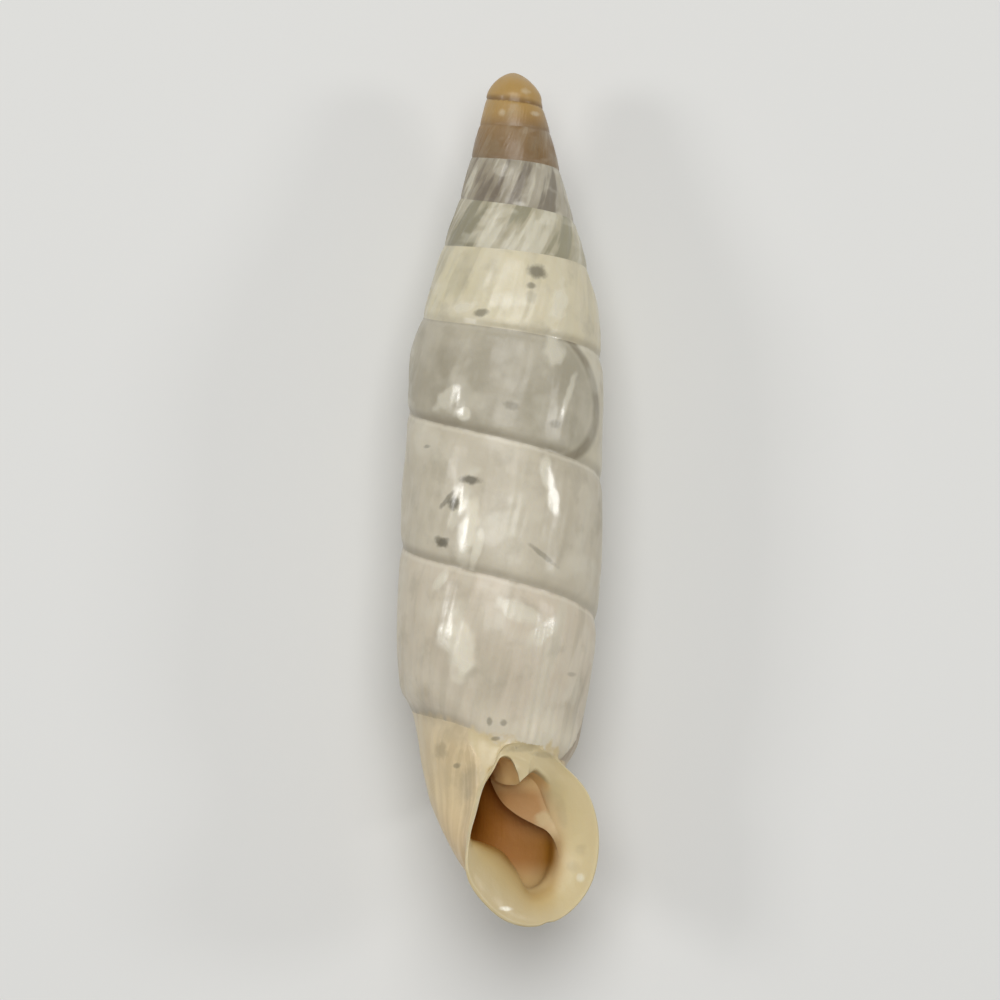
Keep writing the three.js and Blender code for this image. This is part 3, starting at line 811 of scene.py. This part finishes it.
def put(tree, kind, feeds=None, **settings):
    """A new shader node, with its settings, its inputs' values and what is joined to them."""
    node = tree.nodes.new("ShaderNode" + kind)
    for name, value in settings.items():
        setattr(node, name, value)
    for name, value in (feeds or {}).items():
        if isinstance(value, bpy.types.NodeSocket):
            tree.links.new(value, node.inputs[name])
        else:
            node.inputs[name].default_value = value
    return node


def worked(tree, operation, *values, clamp=False):
    return put(tree, "Math", dict(enumerate(values)), operation=operation, use_clamp=clamp).outputs[0]


def times(tree, first, *others, clamp=False):
    for other in others:
        first = worked(tree, "MULTIPLY", first, other, clamp=clamp)
    return first


def mixed(tree, share, one, other):
    return put(tree, "Mix", {0: share, 6: one, 7: other}, data_type="RGBA").outputs[2]


def faded(tree, value, low, high, start=0.0, end=1.0):
    """Goes softly from start to end as the value goes from low to high."""
    feeds = {"Value": value, "From Min": low, "From Max": high, "To Min": start, "To Max": end}
    return put(tree, "MapRange", feeds, interpolation_type="SMOOTHSTEP").outputs[0]


def ramp(tree, value, low, high, stops):
    """A run of colours along a value, from low to high, with a stop at each given value."""
    scaled = put(tree, "MapRange", {"Value": value, "From Min": low, "From Max": high})
    run = put(tree, "ValToRGB", {"Fac": scaled.outputs[0]})
    elements = run.color_ramp.elements
    places = [(place - low) / (high - low) for place, _ in stops]
    elements[0].position = places[0]
    elements[-1].position = places[-1]
    for place in places[1:-1]:
        elements.new(place)
    for element, (_, colour) in zip(elements, stops):
        element.color = colour
    return run.outputs[0]


def level_ramp(tree, value, low, high, stops):
    """As ramp, with a plain number from 0 to 1 at each stop."""
    return ramp(tree, value, low, high, [(place, (level, level, level, 1)) for place, level in stops])


def noise(tree, vector, scale, detail):
    return put(tree, "TexNoise", {"Vector": vector, "Scale": scale, "Detail": detail}).outputs[0]


def grain(tree, vector, fineness, detail):
    """Noise as fine along each axis as is given for it."""
    stretched = put(tree, "VectorMath", {0: vector, 1: fineness}, operation="MULTIPLY").outputs[0]
    return noise(tree, stretched, 1.0, detail)


def new_group(name, takes, gives):
    """A shader group with named sockets, and its two end nodes."""
    group = bpy.data.node_groups.new(name, "ShaderNodeTree")
    for way, sockets in (("INPUT", takes), ("OUTPUT", gives)):
        for label, kind in sockets:
            group.interface.new_socket(name=label, in_out=way, socket_type="NodeSocket" + kind)
    return group, group.nodes.new("NodeGroupInput"), group.nodes.new("NodeGroupOutput")


# Turn along the spiral and part of the way across its whorl, from the spiral's attribute.
place_group, takes, gives = new_group(
    "place_on_spiral", [("On Spiral", "Vector")], [("Turn", "Float"), ("Part", "Float")]
)
sideways, forwards, turned = put(place_group, "SeparateXYZ", {0: takes.outputs["On Spiral"]}).outputs
angle = worked(place_group, "ARCTAN2", sideways, times(place_group, forwards, -1))
from_turn = worked(place_group, "SUBTRACT", turned, worked(place_group, "DIVIDE", angle, 2 * math.pi))
part_across = worked(place_group, "FRACT", from_turn)
place_group.links.new(part_across, gives.inputs["Part"])
place_group.links.new(worked(place_group, "SUBTRACT", turned, part_across), gives.inputs["Turn"])

# One mark on the mouth side, an uneven soft-edged oval, from 0 to 1.
MARK_EDGE = (1.35, 0.55)
mark_group, takes, gives = new_group(
    "mark",
    [
        ("Upright", "Vector"), ("Ragged", "Float"), ("Place", "Vector"), ("Turned", "Vector"),
        ("Size", "Vector"),
    ],
    [("Mask", "Float")],
)
feeds = {
    "Vector": takes.outputs["Upright"], "Location": takes.outputs["Place"],
    "Rotation": takes.outputs["Turned"], "Scale": takes.outputs["Size"],
}
local = put(mark_group, "Mapping", feeds, vector_type="TEXTURE").outputs[0]
reach = put(mark_group, "VectorMath", {0: local}, operation="LENGTH").outputs["Value"]
uneven = worked(mark_group, "ADD", takes.outputs["Ragged"], reach)
mark_group.links.new(faded(mark_group, uneven, *MARK_EDGE), gives.inputs["Mask"])

# The finish is lime under a thin glassy skin. Its colours run along the spiral from a tan tip, over taupe
# and streaked grey and cream whorls, to pale ones, one of them greyer up to where growth once stopped.
TURNS = (-1, 9)
SUTURE_TURNS = (-1, 9.2)
BOW = 0.067
WALL_COLOURS = [
    (-1.0, paint(182, 148, 88)), (0.7, paint(176, 142, 82)), (1.3, paint(174, 140, 82)),
    (1.8, paint(148, 116, 70)), (2.1, paint(132, 104, 66)), (2.5, paint(124, 100, 68)),
    (2.65, paint(140, 127, 105)), (3.0, paint(156, 148, 130)), (3.6, paint(170, 162, 140)),
    (4.4, paint(186, 179, 150)), (4.7, paint(214, 205, 174)), (5.3, paint(214, 204, 175)),
    (5.6, paint(180, 172, 150)), (5.8, paint(168, 160, 140)), (6.1, paint(170, 163, 143)),
    (6.14, paint(204, 196, 172)), (6.5, paint(198, 189, 168)), (7.3, paint(197, 188, 167)),
    (8.0, paint(208, 196, 175)), (8.6, paint(214, 202, 178)), (9.0, paint(216, 202, 172)),
]
lime = bpy.data.materials.new("shell_lime")
lime.use_nodes = True
tree = lime.node_tree
surface = tree.nodes["Principled BSDF"]
spiral, standing, making = (
    put(tree, "Attribute", attribute_name=name).outputs["Vector"]
    for name in ("on_spiral", "upright", "made")
)
right_of, _, height_of = put(tree, "SeparateXYZ", {0: standing}).outputs
along, deep, off = put(tree, "SeparateXYZ", {0: making}).outputs
place = put(tree, "Group", {"On Spiral": spiral}, node_tree=place_group)
turn_of, part_of = place.outputs["Turn"], place.outputs["Part"]
across = times(tree, part_of, worked(tree, "SUBTRACT", 1, part_of), 4)
bowed = worked(tree, "MULTIPLY_ADD", across, -BOW, turn_of)
# Near the tip the colour runs on over the sutures.
RUNS_ON = (1.5, 2.3, 1.0, 0.0)
runs_on = times(tree, part_of, faded(tree, turn_of, *RUNS_ON))
colour = ramp(tree, worked(tree, "ADD", bowed, runs_on), *SUTURE_TURNS, WALL_COLOURS)

# Where growth stopped a dark line is left. Broad chalky clouds and murky ones lie over all the whorls.
REST_BEGINS = (6.1, 6.115)
REST_ENDS = (6.142, 6.125)
REST_STRENGTH = 0.75
CLOUD_FINENESS = 1.1
CLOUDED = (0.35, 0.7, 0.0, 0.3)
CLOUDS_BEGIN = (2.0, 3.0, 0.2, 1.0)
MURK_PLACE = (7, 3, 9)
MURK_FINENESS = 1.7
MURKY = (0.5, 0.72, 0.0, 0.3)
rest_line = times(tree, faded(tree, bowed, *REST_BEGINS), faded(tree, bowed, *REST_ENDS), REST_STRENGTH)
colour = mixed(tree, rest_line, colour, paint(122, 112, 90))
clouds = faded(tree, noise(tree, standing, CLOUD_FINENESS, detail=3), *CLOUDED)
clouds = times(tree, clouds, faded(tree, turn_of, *CLOUDS_BEGIN))
colour = mixed(tree, clouds, colour, paint(226, 219, 200))
murk_place = put(tree, "VectorMath", {0: standing, 1: MURK_PLACE}, operation="ADD").outputs[0]
murk = noise(tree, murk_place, MURK_FINENESS, detail=4)
colour = mixed(tree, faded(tree, murk, *MURKY), colour, paint(150, 142, 120))

# Streaks cross the whorls along the ribs and growth lines. They are strongest on the ribbed whorls.
STREAKS = [
    (-1.0, 0.0), (1.0, 0.03), (2.0, 0.12), (2.4, 0.25), (2.7, 0.8), (3.0, 0.95), (4.0, 1.0),
    (4.6, 0.75), (5.0, 0.3), (5.6, 0.22), (7.0, 0.15), (7.6, 0.2), (8.3, 0.6), (9.0, 0.7),
]
STREAK_DARKS = [
    (1.0, paint(150, 118, 78)), (2.0, paint(112, 88, 62)), (3.0, paint(110, 100, 88)),
    (4.0, paint(138, 134, 110)), (5.0, paint(176, 170, 146)), (9.0, paint(170, 160, 138)),
]
BROAD_GRAIN = (14, 0.6, 1)
FINE_GRAIN = (60, 1.6, 1)
FINE_SHARE = 0.25
RIB_SHARE = 0.02
DARK_STREAK = (0.49, 0.41)
DARK_STRENGTH = 0.75
PALE_STREAK = (0.53, 0.62)
PALE_STRENGTH = 0.65
rib_place = worked(tree, "MULTIPLY_ADD", part_of, RIB_LEAN, turn_of)
on_ribs = put(tree, "CombineXYZ", {0: rib_place, 1: part_of}).outputs[0]
broad = grain(tree, on_ribs, BROAD_GRAIN, detail=1.5)
fine = grain(tree, on_ribs, FINE_GRAIN, detail=2)
wave = worked(tree, "COSINE", times(tree, rib_place, 2 * math.pi * RIBS_PER_TURN))
level = worked(tree, "MULTIPLY_ADD", fine, FINE_SHARE, times(tree, broad, 1 - FINE_SHARE))
level = worked(tree, "MULTIPLY_ADD", wave, RIB_SHARE, level)
strength = level_ramp(tree, turn_of, *TURNS, STREAKS)
dark_streak = times(tree, faded(tree, level, *DARK_STREAK), strength, clamp=True)
pale_streak = times(tree, faded(tree, level, *PALE_STREAK), strength, clamp=True)
streak_dark = ramp(tree, turn_of, *TURNS, STREAK_DARKS)
colour = mixed(tree, times(tree, dark_streak, DARK_STRENGTH), colour, streak_dark)
colour = mixed(tree, times(tree, pale_streak, PALE_STRENGTH), colour, paint(218, 213, 193))

# The last whorl's foot pales over the mouth.
HEM = (0.68, 0.9)
HEM_BEGINS = (7.85, 8.05, 0.0, 0.5)
HEM_ENDS = (8.55, 8.35)
hem = times(tree, faded(tree, part_of, *HEM), faded(tree, turn_of, *HEM_BEGINS))
hem = times(tree, hem, faded(tree, turn_of, *HEM_ENDS))
colour = mixed(tree, hem, colour, paint(228, 219, 196))

# At each suture a soft dark line is painted at each whorl's top and over it: painted shade in the suture's
# crease, browner near the tip. A pale thread lies just under it. Widths are in millimetres, so the share of
# the way across is taken times each whorl's height.
WHORL_HEIGHTS = [
    (-1.0, 0.4), (1.0, 0.55), (3.0, 0.95), (5.0, 1.75), (6.0, 2.45), (7.0, 2.9), (8.0, 3.1), (9.0, 3.1),
]
TALLEST = 4
WOBBLE = 0.07
# Near the tip the line is narrower.
TIP_NARROWER = (1.5, 3.0, 2.2, 1.0)
LINE_UNDER = (0.035, -0.01)
LINE_ABOVE = (0.24, 0.03)
LINE_STRENGTH = 0.6
LINED = [
    (-1.0, 0.0), (0.4, 0.1), (0.8, 1.0), (1.2, 1.0), (1.5, 0.1), (5.7, 0.1), (6.1, 0.6), (6.6, 0.9),
    (6.95, 0.8), (7.2, 0.5), (7.6, 0.9), (7.9, 0.8), (8.2, 0.4), (8.6, 0.7), (8.9, 0.8), (8.97, 0.35),
    (9.03, 0.0), (9.2, 0.0),
]
TIP_LINE = (1.5, 3.0)
THREAD_TOP = (0.03, 0.06)
THREAD_FOOT = (0.14, 0.07)
THREAD_STRENGTH = 0.26
THREADED = [(-1.0, 0.0), (5.6, 0.0), (6.2, 0.4), (7.0, 1.0), (8.6, 1.0), (8.8, 0.0), (9.2, 0.0)]
heights = [(place, height / TALLEST) for place, height in WHORL_HEIGHTS]
whorl_height = times(tree, level_ramp(tree, turn_of, *TURNS, heights), TALLEST)
wobble = worked(tree, "MULTIPLY_ADD", worked(tree, "ADD", fine, broad), WOBBLE, -WOBBLE)
under = worked(tree, "ADD", times(tree, part_of, whorl_height), wobble)
above = times(tree, worked(tree, "SUBTRACT", 1, part_of), whorl_height)
above = times(tree, above, faded(tree, turn_of, *TIP_NARROWER))
# The painted shade: a broad band over the suture and a thin one just under it.
line = worked(tree, "MAXIMUM", faded(tree, under, *LINE_UNDER), faded(tree, above, *LINE_ABOVE))
thread = times(tree, faded(tree, under, *THREAD_TOP), faded(tree, under, *THREAD_FOOT))
suture_turn = worked(tree, "ADD", turn_of, worked(tree, "ROUND", part_of))
lined = level_ramp(tree, suture_turn, *SUTURE_TURNS, LINED)
threaded = level_ramp(tree, suture_turn, *SUTURE_TURNS, THREADED)
suture_shade_colour = mixed(tree, faded(tree, suture_turn, *TIP_LINE), paint(98, 66, 28), paint(128, 117, 96))
colour = mixed(tree, times(tree, line, LINE_STRENGTH, lined), colour, suture_shade_colour)
colour = mixed(tree, times(tree, thread, THREAD_STRENGTH, threaded), colour, paint(236, 230, 212))

# The side of the foot behind the front's slanting step, painted darker and browner as shade.
STEP_SHADE_HEIGHT = 0.4
STEP_SHADE_EDGE = (0.0, 0.012)
STEP_SHADE_FADE = (0.2, 0.0)
STEP_SHADE_STRENGTH = 0.7
step_down = faded(tree, height_of, FRONT_TOP, FRONT_TOP - STEP_SHADE_HEIGHT)
feeds = {
    "Value": height_of, "From Min": FRONT_TOP, "From Max": FRONT_FOOT,
    "To Min": STEP_TOP, "To Max": STEP_FOOT,
}
step_turn = put(tree, "MapRange", feeds).outputs[0]
past_step = worked(tree, "SUBTRACT", worked(tree, "FRACT", turn_of), step_turn)
beside = times(tree, faded(tree, past_step, *STEP_SHADE_EDGE), faded(tree, past_step, *STEP_SHADE_FADE))
# Paints the shade beside the step.
colour = mixed(tree, times(tree, beside, step_down, STEP_SHADE_STRENGTH), colour, paint(146, 122, 92))

# The neck and the lip are creamier, with an uneven edge against the body. The neck is streaked round its
# length and warmer low down, and pale under the suture.
BLOTCH_FINENESS = 4.5
BLOTCH_REACH = 0.5
NECK_EDGE_FADE = (-0.12, 0.08)
NECK_STREAKS = 22
STREAKED = (0.3, 0.7)
NECK_MURK = (0.45, 0.65, 0.0, 0.4)
WARM_LOW = (2.9, 1.4)
WARM_STRENGTH = 0.4
CREAM_ALONG = (0.6, 1.25, 0.45, 1.0)
CREAM_DOWN = (4.3, 3.5, 0.55, 1.0)
LIP_BEGINS = (1.42, 1.56)
blotches = worked(tree, "SUBTRACT", noise(tree, standing, BLOTCH_FINENESS, detail=3), 0.5)
neck_mask = faded(tree, worked(tree, "MULTIPLY_ADD", blotches, BLOTCH_REACH, off), *NECK_EDGE_FADE)
streak_place = put(tree, "CombineXYZ", {0: times(tree, along, NECK_STREAKS), 1: murk}).outputs[0]
neck_streak = faded(tree, noise(tree, streak_place, 1.0, detail=3), *STREAKED)
cream = mixed(tree, neck_streak, paint(210, 188, 147), paint(229, 208, 166))
cream = mixed(tree, faded(tree, murk, *NECK_MURK), cream, paint(196, 178, 140))
warm = times(tree, faded(tree, height_of, *WARM_LOW), WARM_STRENGTH)
cream = mixed(tree, warm, cream, paint(208, 172, 118))
creamy = times(tree, neck_mask, faded(tree, along, *CREAM_ALONG), faded(tree, height_of, *CREAM_DOWN))
colour = mixed(tree, creamy, colour, cream)
lip_colour = mixed(tree, faded(tree, murk, *STREAKED), paint(216, 200, 160), paint(206, 188, 146))
colour = mixed(tree, times(tree, neck_mask, faded(tree, along, *LIP_BEGINS)), colour, lip_colour)

# The throat, browner the deeper it goes. On its floor it darkens gently over the lip's edge, under the
# mouth's top edge it is pinker, and low down paler.
THROAT = [
    (-0.1, paint(213, 196, 154)), (0.1, paint(206, 188, 142)), (0.3, paint(210, 184, 138)),
    (0.42, paint(184, 138, 84)), (0.8, paint(182, 132, 70)), (1.3, paint(170, 110, 28)),
    (2.2, paint(156, 96, 20)),
]
FLOOR = [
    (-0.1, paint(207, 192, 155)), (0.0, paint(202, 184, 141)), (0.1, paint(198, 174, 122)),
    (0.19, paint(180, 150, 92)), (0.27, paint(150, 112, 52)), (0.36, paint(138, 94, 26)),
    (0.8, paint(160, 106, 24)), (2.2, paint(156, 96, 20)),
]
THROAT_DEPTHS = (-0.1, 2.4)
PINK_HEIGHT = (2.75, 3.1)
PINK_RIGHT = (1.34, 1.14)
PINK_BEGINS = (0.02, 0.09)
PINK_ENDS = (1.4, 0.7)
FLOOR_HEIGHT = (2.15, 1.7)
FLOOR_RIGHT = (1.75, 1.3)
PALE_HEIGHT = (1.5, 0.85, 0.0, 0.75)
PALE_BEGINS = (0.12, 0.32)
throat_colour = ramp(tree, deep, *THROAT_DEPTHS, THROAT)
under_top = times(tree, faded(tree, height_of, *PINK_HEIGHT), faded(tree, deep, *PINK_BEGINS))
under_top = times(tree, under_top, faded(tree, right_of, *PINK_RIGHT), faded(tree, deep, *PINK_ENDS))
throat_colour = mixed(tree, under_top, throat_colour, paint(240, 204, 144))
on_floor = times(tree, faded(tree, height_of, *FLOOR_HEIGHT), faded(tree, right_of, *FLOOR_RIGHT))
throat_colour = mixed(tree, on_floor, throat_colour, ramp(tree, deep, *THROAT_DEPTHS, FLOOR))
low_down = times(tree, faded(tree, height_of, *PALE_HEIGHT), faded(tree, deep, *PALE_BEGINS))
throat_colour = mixed(tree, low_down, throat_colour, paint(205, 180, 128))
in_throat = worked(tree, "GREATER_THAN", deep, NOT_IN_THROAT / 2)
colour = mixed(tree, in_throat, colour, throat_colour)

# Stains, chips, a scratch and a darker strip along the lip's top edge on the mouth side, and paler patches
# that are partly painted highlights.
# Each row is (to the right, height, width, length, turned), in millimetres and degrees, and a stain's also
# how strong it is.
STAINS = [
    (0.57, 13.70, 0.2, 0.15, 10, 0.75), (0.45, 13.39, 0.11, 0.07, 0, 0.6),
    (0.46, 13.15, 0.12, 0.14, 0, 0.2), (-0.57, 12.77, 0.15, 0.08, -10, 0.65),
    (0.13, 10.83, 0.17, 0.09, 10, 0.4), (1.07, 10.51, 0.11, 0.09, 0, 0.4),
    (-0.67, 9.26, 0.21, 0.09, 5, 0.85), (-1.0, 8.77, 0.11, 0.16, 10, 0.85),
    (-1.13, 8.85, 0.05, 0.24, 38, 0.6), (-1.22, 7.96, 0.15, 0.08, 35, 0.7),
    (-1.2, 7.94, 0.14, 0.08, -35, 0.7), (0.92, 7.74, 0.36, 0.055, 36, 0.45),
    (-0.08, 4.26, 0.06, 0.08, 10, 0.5), (0.21, 4.24, 0.07, 0.07, 0, 0.5),
    (0.06, 3.91, 0.1, 0.045, -10, 0.5), (-1.07, 3.63, 0.14, 0.19, 0, 0.3),
    (-0.73, 3.32, 0.07, 0.06, 0, 0.5), (1.6, 5.32, 0.09, 0.05, 0, 0.3),
    (-1.6, 9.97, 0.08, 0.04, 0, 0.45), (1.93, 1.68, 0.13, 0.14, 0, 0.13),
    (1.77, 1.33, 0.15, 0.13, 0, 0.13), (1.5, 2.45, 0.12, 0.36, -15, 0.12),
    # Of the last three rows, the second and the third darken a strip along the lip's top edge, under the
    # foot.
    (-0.42, 3.0, 0.26, 0.4, 20, 0.22), (0.6, 3.72, 0.32, 0.08, -6, 0.25),
    (1.05, 3.62, 0.28, 0.07, 5, 0.2),
]
# Patches where the glassy skin has stayed whole, and the gloss sits on them. Their paler colour is painted
# highlight, and the two last rows are painted highlights on the lip.
GLASSY_AND_HIGHLIGHT_PATCHES = [
    (1.05, 13.05, 0.18, 0.4, 8), (0.98, 12.0, 0.2, 0.42, 4), (1.3, 11.1, 0.08, 0.55, 14),
    (-1.15, 10.95, 0.24, 0.36, 10), (-0.86, 10.66, 0.13, 0.16, -30), (0.93, 9.42, 0.13, 0.34, -18),
    (1.08, 8.9, 0.12, 0.3, -10), (-0.84, 8.95, 0.22, 0.5, 14), (-0.95, 6.0, 0.16, 0.5, -14),
    (-0.72, 8.05, 0.17, 0.55, 8), (-0.46, 7.95, 0.1, 0.45, 10), (-0.9, 5.75, 0.22, 0.6, -22),
    (-1.25, 7.1, 0.09, 0.3, 35), (1.0, 6.15, 0.16, 0.4, 40), (-0.97, 12.92, 0.28, 0.12, 0),
    (0.45, 6.6, 0.5, 0.2, 20), (1.93, 1.1, 0.1, 0.1, 20), (0.42, 0.39, 0.14, 0.05, 0),
]
# Painted highlights on the dome, which are glossy too.
TIP_GLASSY_HIGHLIGHTS = [(0.2, 17.6, 0.11, 0.08, 20), (-0.3, 17.12, 0.09, 0.08, 0), (0.4, 17.14, 0.1, 0.06, 0)]
TIP_HIGHLIGHT_STRENGTH = 0.5
# Elsewhere what is left of the skin lies in uneven smears along the growth lines.
SMEAR_GRAIN = (9, 2.2, 1)
SMEARED = (0.57, 0.68, 0.0, 0.4)
SMEARS_BEGIN = (1.5, 3.0)
SMEARS_END = (0.0, -0.2)
RAGGED_FINENESS = 7.0
BRUSHED_GRAIN = (34, 6, 1)
BRUSHED_REACH = 2.0
PALE_SKIN_AND_HIGHLIGHT_STRENGTH = 0.55
# Pale patches on the left of the last two whorls, partly painted highlights.
PALE_AND_HIGHLIGHT_PATCHES = [(-0.75, 5.82, 0.28, 0.62, -14), (-0.62, 8.4, 0.19, 0.55, -6)]
PALE_AND_HIGHLIGHT_STRENGTH = 0.6
WORN_PLATE = (1.12, 2.3, 0.24, 0.17, -30)
WORN_STRENGTH = 0.7
DEEP_ENOUGH = 3.0
FRONT_MIDDLE = -2.2
OUTSIDE = (0.4, 0.05)
ragged = worked(tree, "SUBTRACT", noise(tree, standing, RAGGED_FINENESS, detail=3), 0.5)
brushed = grain(tree, on_ribs, BRUSHED_GRAIN, detail=1)
brushed = worked(tree, "MULTIPLY_ADD", brushed, BRUSHED_REACH, -BRUSHED_REACH / 2)


def placed_mark(right, height, width, length, turned, unevenness):
    feeds = {
        "Upright": standing, "Ragged": unevenness, "Place": (right, FRONT_MIDDLE, height),
        "Turned": (0, math.radians(turned), 0), "Size": (width, DEEP_ENOUGH, length),
    }
    return put(tree, "Group", feeds, node_tree=mark_group).outputs["Mask"]


patches = faded(tree, grain(tree, on_ribs, SMEAR_GRAIN, detail=2), *SMEARED)
patches = times(tree, patches, faded(tree, off, *SMEARS_END), faded(tree, turn_of, *SMEARS_BEGIN))
for patch in TIP_GLASSY_HIGHLIGHTS:
    tip_highlight = times(tree, placed_mark(*patch, ragged), TIP_HIGHLIGHT_STRENGTH)
    patches = worked(tree, "MAXIMUM", patches, tip_highlight)
for patch in GLASSY_AND_HIGHLIGHT_PATCHES:
    patches = worked(tree, "MAXIMUM", patches, placed_mark(*patch, brushed))
outside = faded(tree, deep, *OUTSIDE)
patches = times(tree, patches, outside)
# Paler where the skin is left, with painted highlights on the placed patches.
colour = mixed(tree, times(tree, patches, PALE_SKIN_AND_HIGHLIGHT_STRENGTH), colour, paint(238, 233, 214))
# Paints the pale patches and highlights on the left of the last two whorls.
pale_and_highlight = worked(tree, "MAXIMUM", *(placed_mark(*patch, brushed) for patch in PALE_AND_HIGHLIGHT_PATCHES))
colour = mixed(tree, times(tree, pale_and_highlight, PALE_AND_HIGHLIGHT_STRENGTH), colour, paint(240, 233, 212))
worn = placed_mark(*WORN_PLATE, ragged)
colour = mixed(tree, times(tree, worn, WORN_STRENGTH), colour, paint(206, 184, 138))
for *stain, shade in STAINS:
    colour = mixed(tree, times(tree, placed_mark(*stain, ragged), shade), colour, paint(104, 98, 80))
tree.links.new(colour, surface.inputs["Base Color"])

# The gloss: a thin coat, strongest on the glassy patches and none in the throat, over lime that is duller in
# some places. A little light goes in, and fine ripples break up what is mirrored.
DULL_FINENESS = 2.6
DULLED = (0.35, 0.65, 0.34, 0.5)
GLASSY_ROUGHNESS = (0.24, 0.24, 0.24, 1)
THROAT_ROUGHNESS = (0.6, 0.6, 0.6, 1)
COAT = 0.12
GLASSY_COAT = 0.5
RIPPLE_FINENESS = 2.4
RIPPLE_SHARE = 3.0
RIPPLE_DEPTH = 0.000012
RIPPLE_STRENGTH = 0.5
dull = faded(tree, noise(tree, standing, DULL_FINENESS, detail=2), *DULLED)
rough = mixed(tree, patches, dull, GLASSY_ROUGHNESS)
tree.links.new(mixed(tree, outside, THROAT_ROUGHNESS, rough), surface.inputs["Roughness"])
coat = worked(tree, "MULTIPLY_ADD", patches, GLASSY_COAT, COAT)
tree.links.new(times(tree, coat, outside), surface.inputs["Coat Weight"])
surface.inputs["Coat Roughness"].default_value = 0.17
surface.inputs["Subsurface Weight"].default_value = 0.2
surface.inputs["Subsurface Radius"].default_value = (1.0, 0.8, 0.5)
surface.inputs["Subsurface Scale"].default_value = 0.0003
ripple = worked(tree, "MULTIPLY_ADD", noise(tree, standing, RIPPLE_FINENESS, detail=3), RIPPLE_SHARE, level)
feeds = {"Height": ripple, "Distance": RIPPLE_DEPTH, "Strength": RIPPLE_STRENGTH}
relief = put(tree, "Bump", feeds)
tree.links.new(relief.outputs[0], surface.inputs["Normal"])
shell.data.materials.clear()
shell.data.materials.append(lime)


def in_world(point):
    """Where a point of the upright shell, in millimetres, lies."""
    return Vector((laid @ np.asarray(point, float) + shift) * MM)


# The floor, the light and the camera. The camera looks down on the lying shell from where it faces the
# mouth, a little nearer to its foot, with the tip leaning right in the picture.
VIEW_TILT = math.radians(3.7)
VIEW_ROLL = math.radians(2.13)
VIEW_DISTANCE = 150
VIEW_CENTRE = (-0.03, 0, 8.99)
PICTURE_WIDTH = 21.077
SENSOR_WIDTH = 36
CLIP = (0.001, 10)
away = np.array([0, math.cos(VIEW_TILT), math.sin(VIEW_TILT)])
view_up = np.array([0, -math.sin(VIEW_TILT), math.cos(VIEW_TILT)])
view_right = np.array([1.0, 0, 0])
picture_right = math.cos(VIEW_ROLL) * view_right + math.sin(VIEW_ROLL) * view_up
picture_up = math.cos(VIEW_ROLL) * view_up - math.sin(VIEW_ROLL) * view_right
camera_data = bpy.data.cameras.new("camera")
camera_data.sensor_width = SENSOR_WIDTH
camera_data.lens = SENSOR_WIDTH * VIEW_DISTANCE / PICTURE_WIDTH
camera_data.clip_start, camera_data.clip_end = CLIP
camera = bpy.data.objects.new("camera", camera_data)
axes = [Vector(laid @ axis) for axis in (picture_right, picture_up, -away)]
camera.matrix_world = Matrix.Translation(in_world(np.array(VIEW_CENTRE) - VIEW_DISTANCE * away)) @ Matrix(
    [[axis[i] for axis in axes] for i in range(3)]
).to_4x4()
bpy.context.scene.collection.objects.link(camera)
bpy.context.scene.camera = camera

# A wide sheet of pale paper just under the shell, and three soft boxes of light.
FLOOR_HALF = 2.0
floor_height = float(((lying + shift) * MM)[:, 2].min())
corners = [(x * FLOOR_HALF, y * FLOOR_HALF) for x, y in ((-1, -1), (1, -1), (1, 1), (-1, 1))]
floor_mesh = bpy.data.meshes.new("floor")
floor_mesh.from_pydata([(x, y, floor_height) for x, y in corners], [], [(0, 1, 2, 3)])
floor = bpy.data.objects.new("floor", floor_mesh)
bpy.context.scene.collection.objects.link(floor)
paper = bpy.data.materials.new("pale_paper")
paper.use_nodes = True
paper.node_tree.nodes["Principled BSDF"].inputs["Base Color"].default_value = (0.78, 0.78, 0.76, 1)
paper.node_tree.nodes["Principled BSDF"].inputs["Roughness"].default_value = 0.9
floor_mesh.materials.append(paper)


def soft_box(name, direction, size, watts, distance):
    """A square area light that shines on the shell from a direction of the upright shell, in metres."""
    light = bpy.data.lights.new(name, "AREA")
    light.shape = "SQUARE"
    light.size = size
    light.energy = watts
    lamp = bpy.data.objects.new(name, light)
    target = in_world(VIEW_CENTRE)
    along = Vector(laid @ np.array(direction, float)).normalized()
    lamp.location = target + along * distance
    lamp.rotation_euler = (-along).to_track_quat("-Z", "Y").to_euler()
    bpy.context.scene.collection.objects.link(lamp)


soft_box("left_box", direction=(-0.8, -0.6, 0.06), size=0.034, watts=0.045, distance=0.16)
soft_box("right_box", direction=(0.85, -0.53, 0.1), size=0.03, watts=0.035, distance=0.16)
soft_box("top_box", direction=(0.0, -1.0, 0.35), size=0.22, watts=0.6, distance=0.3)
bpy.context.scene.view_settings.view_transform = "Standard"
world = bpy.data.worlds.new("studio")
world.use_nodes = True
world.node_tree.nodes["Background"].inputs["Color"].default_value = (1, 0.99, 0.97, 1)
world.node_tree.nodes["Background"].inputs["Strength"].default_value = 0.2
bpy.context.scene.world = world
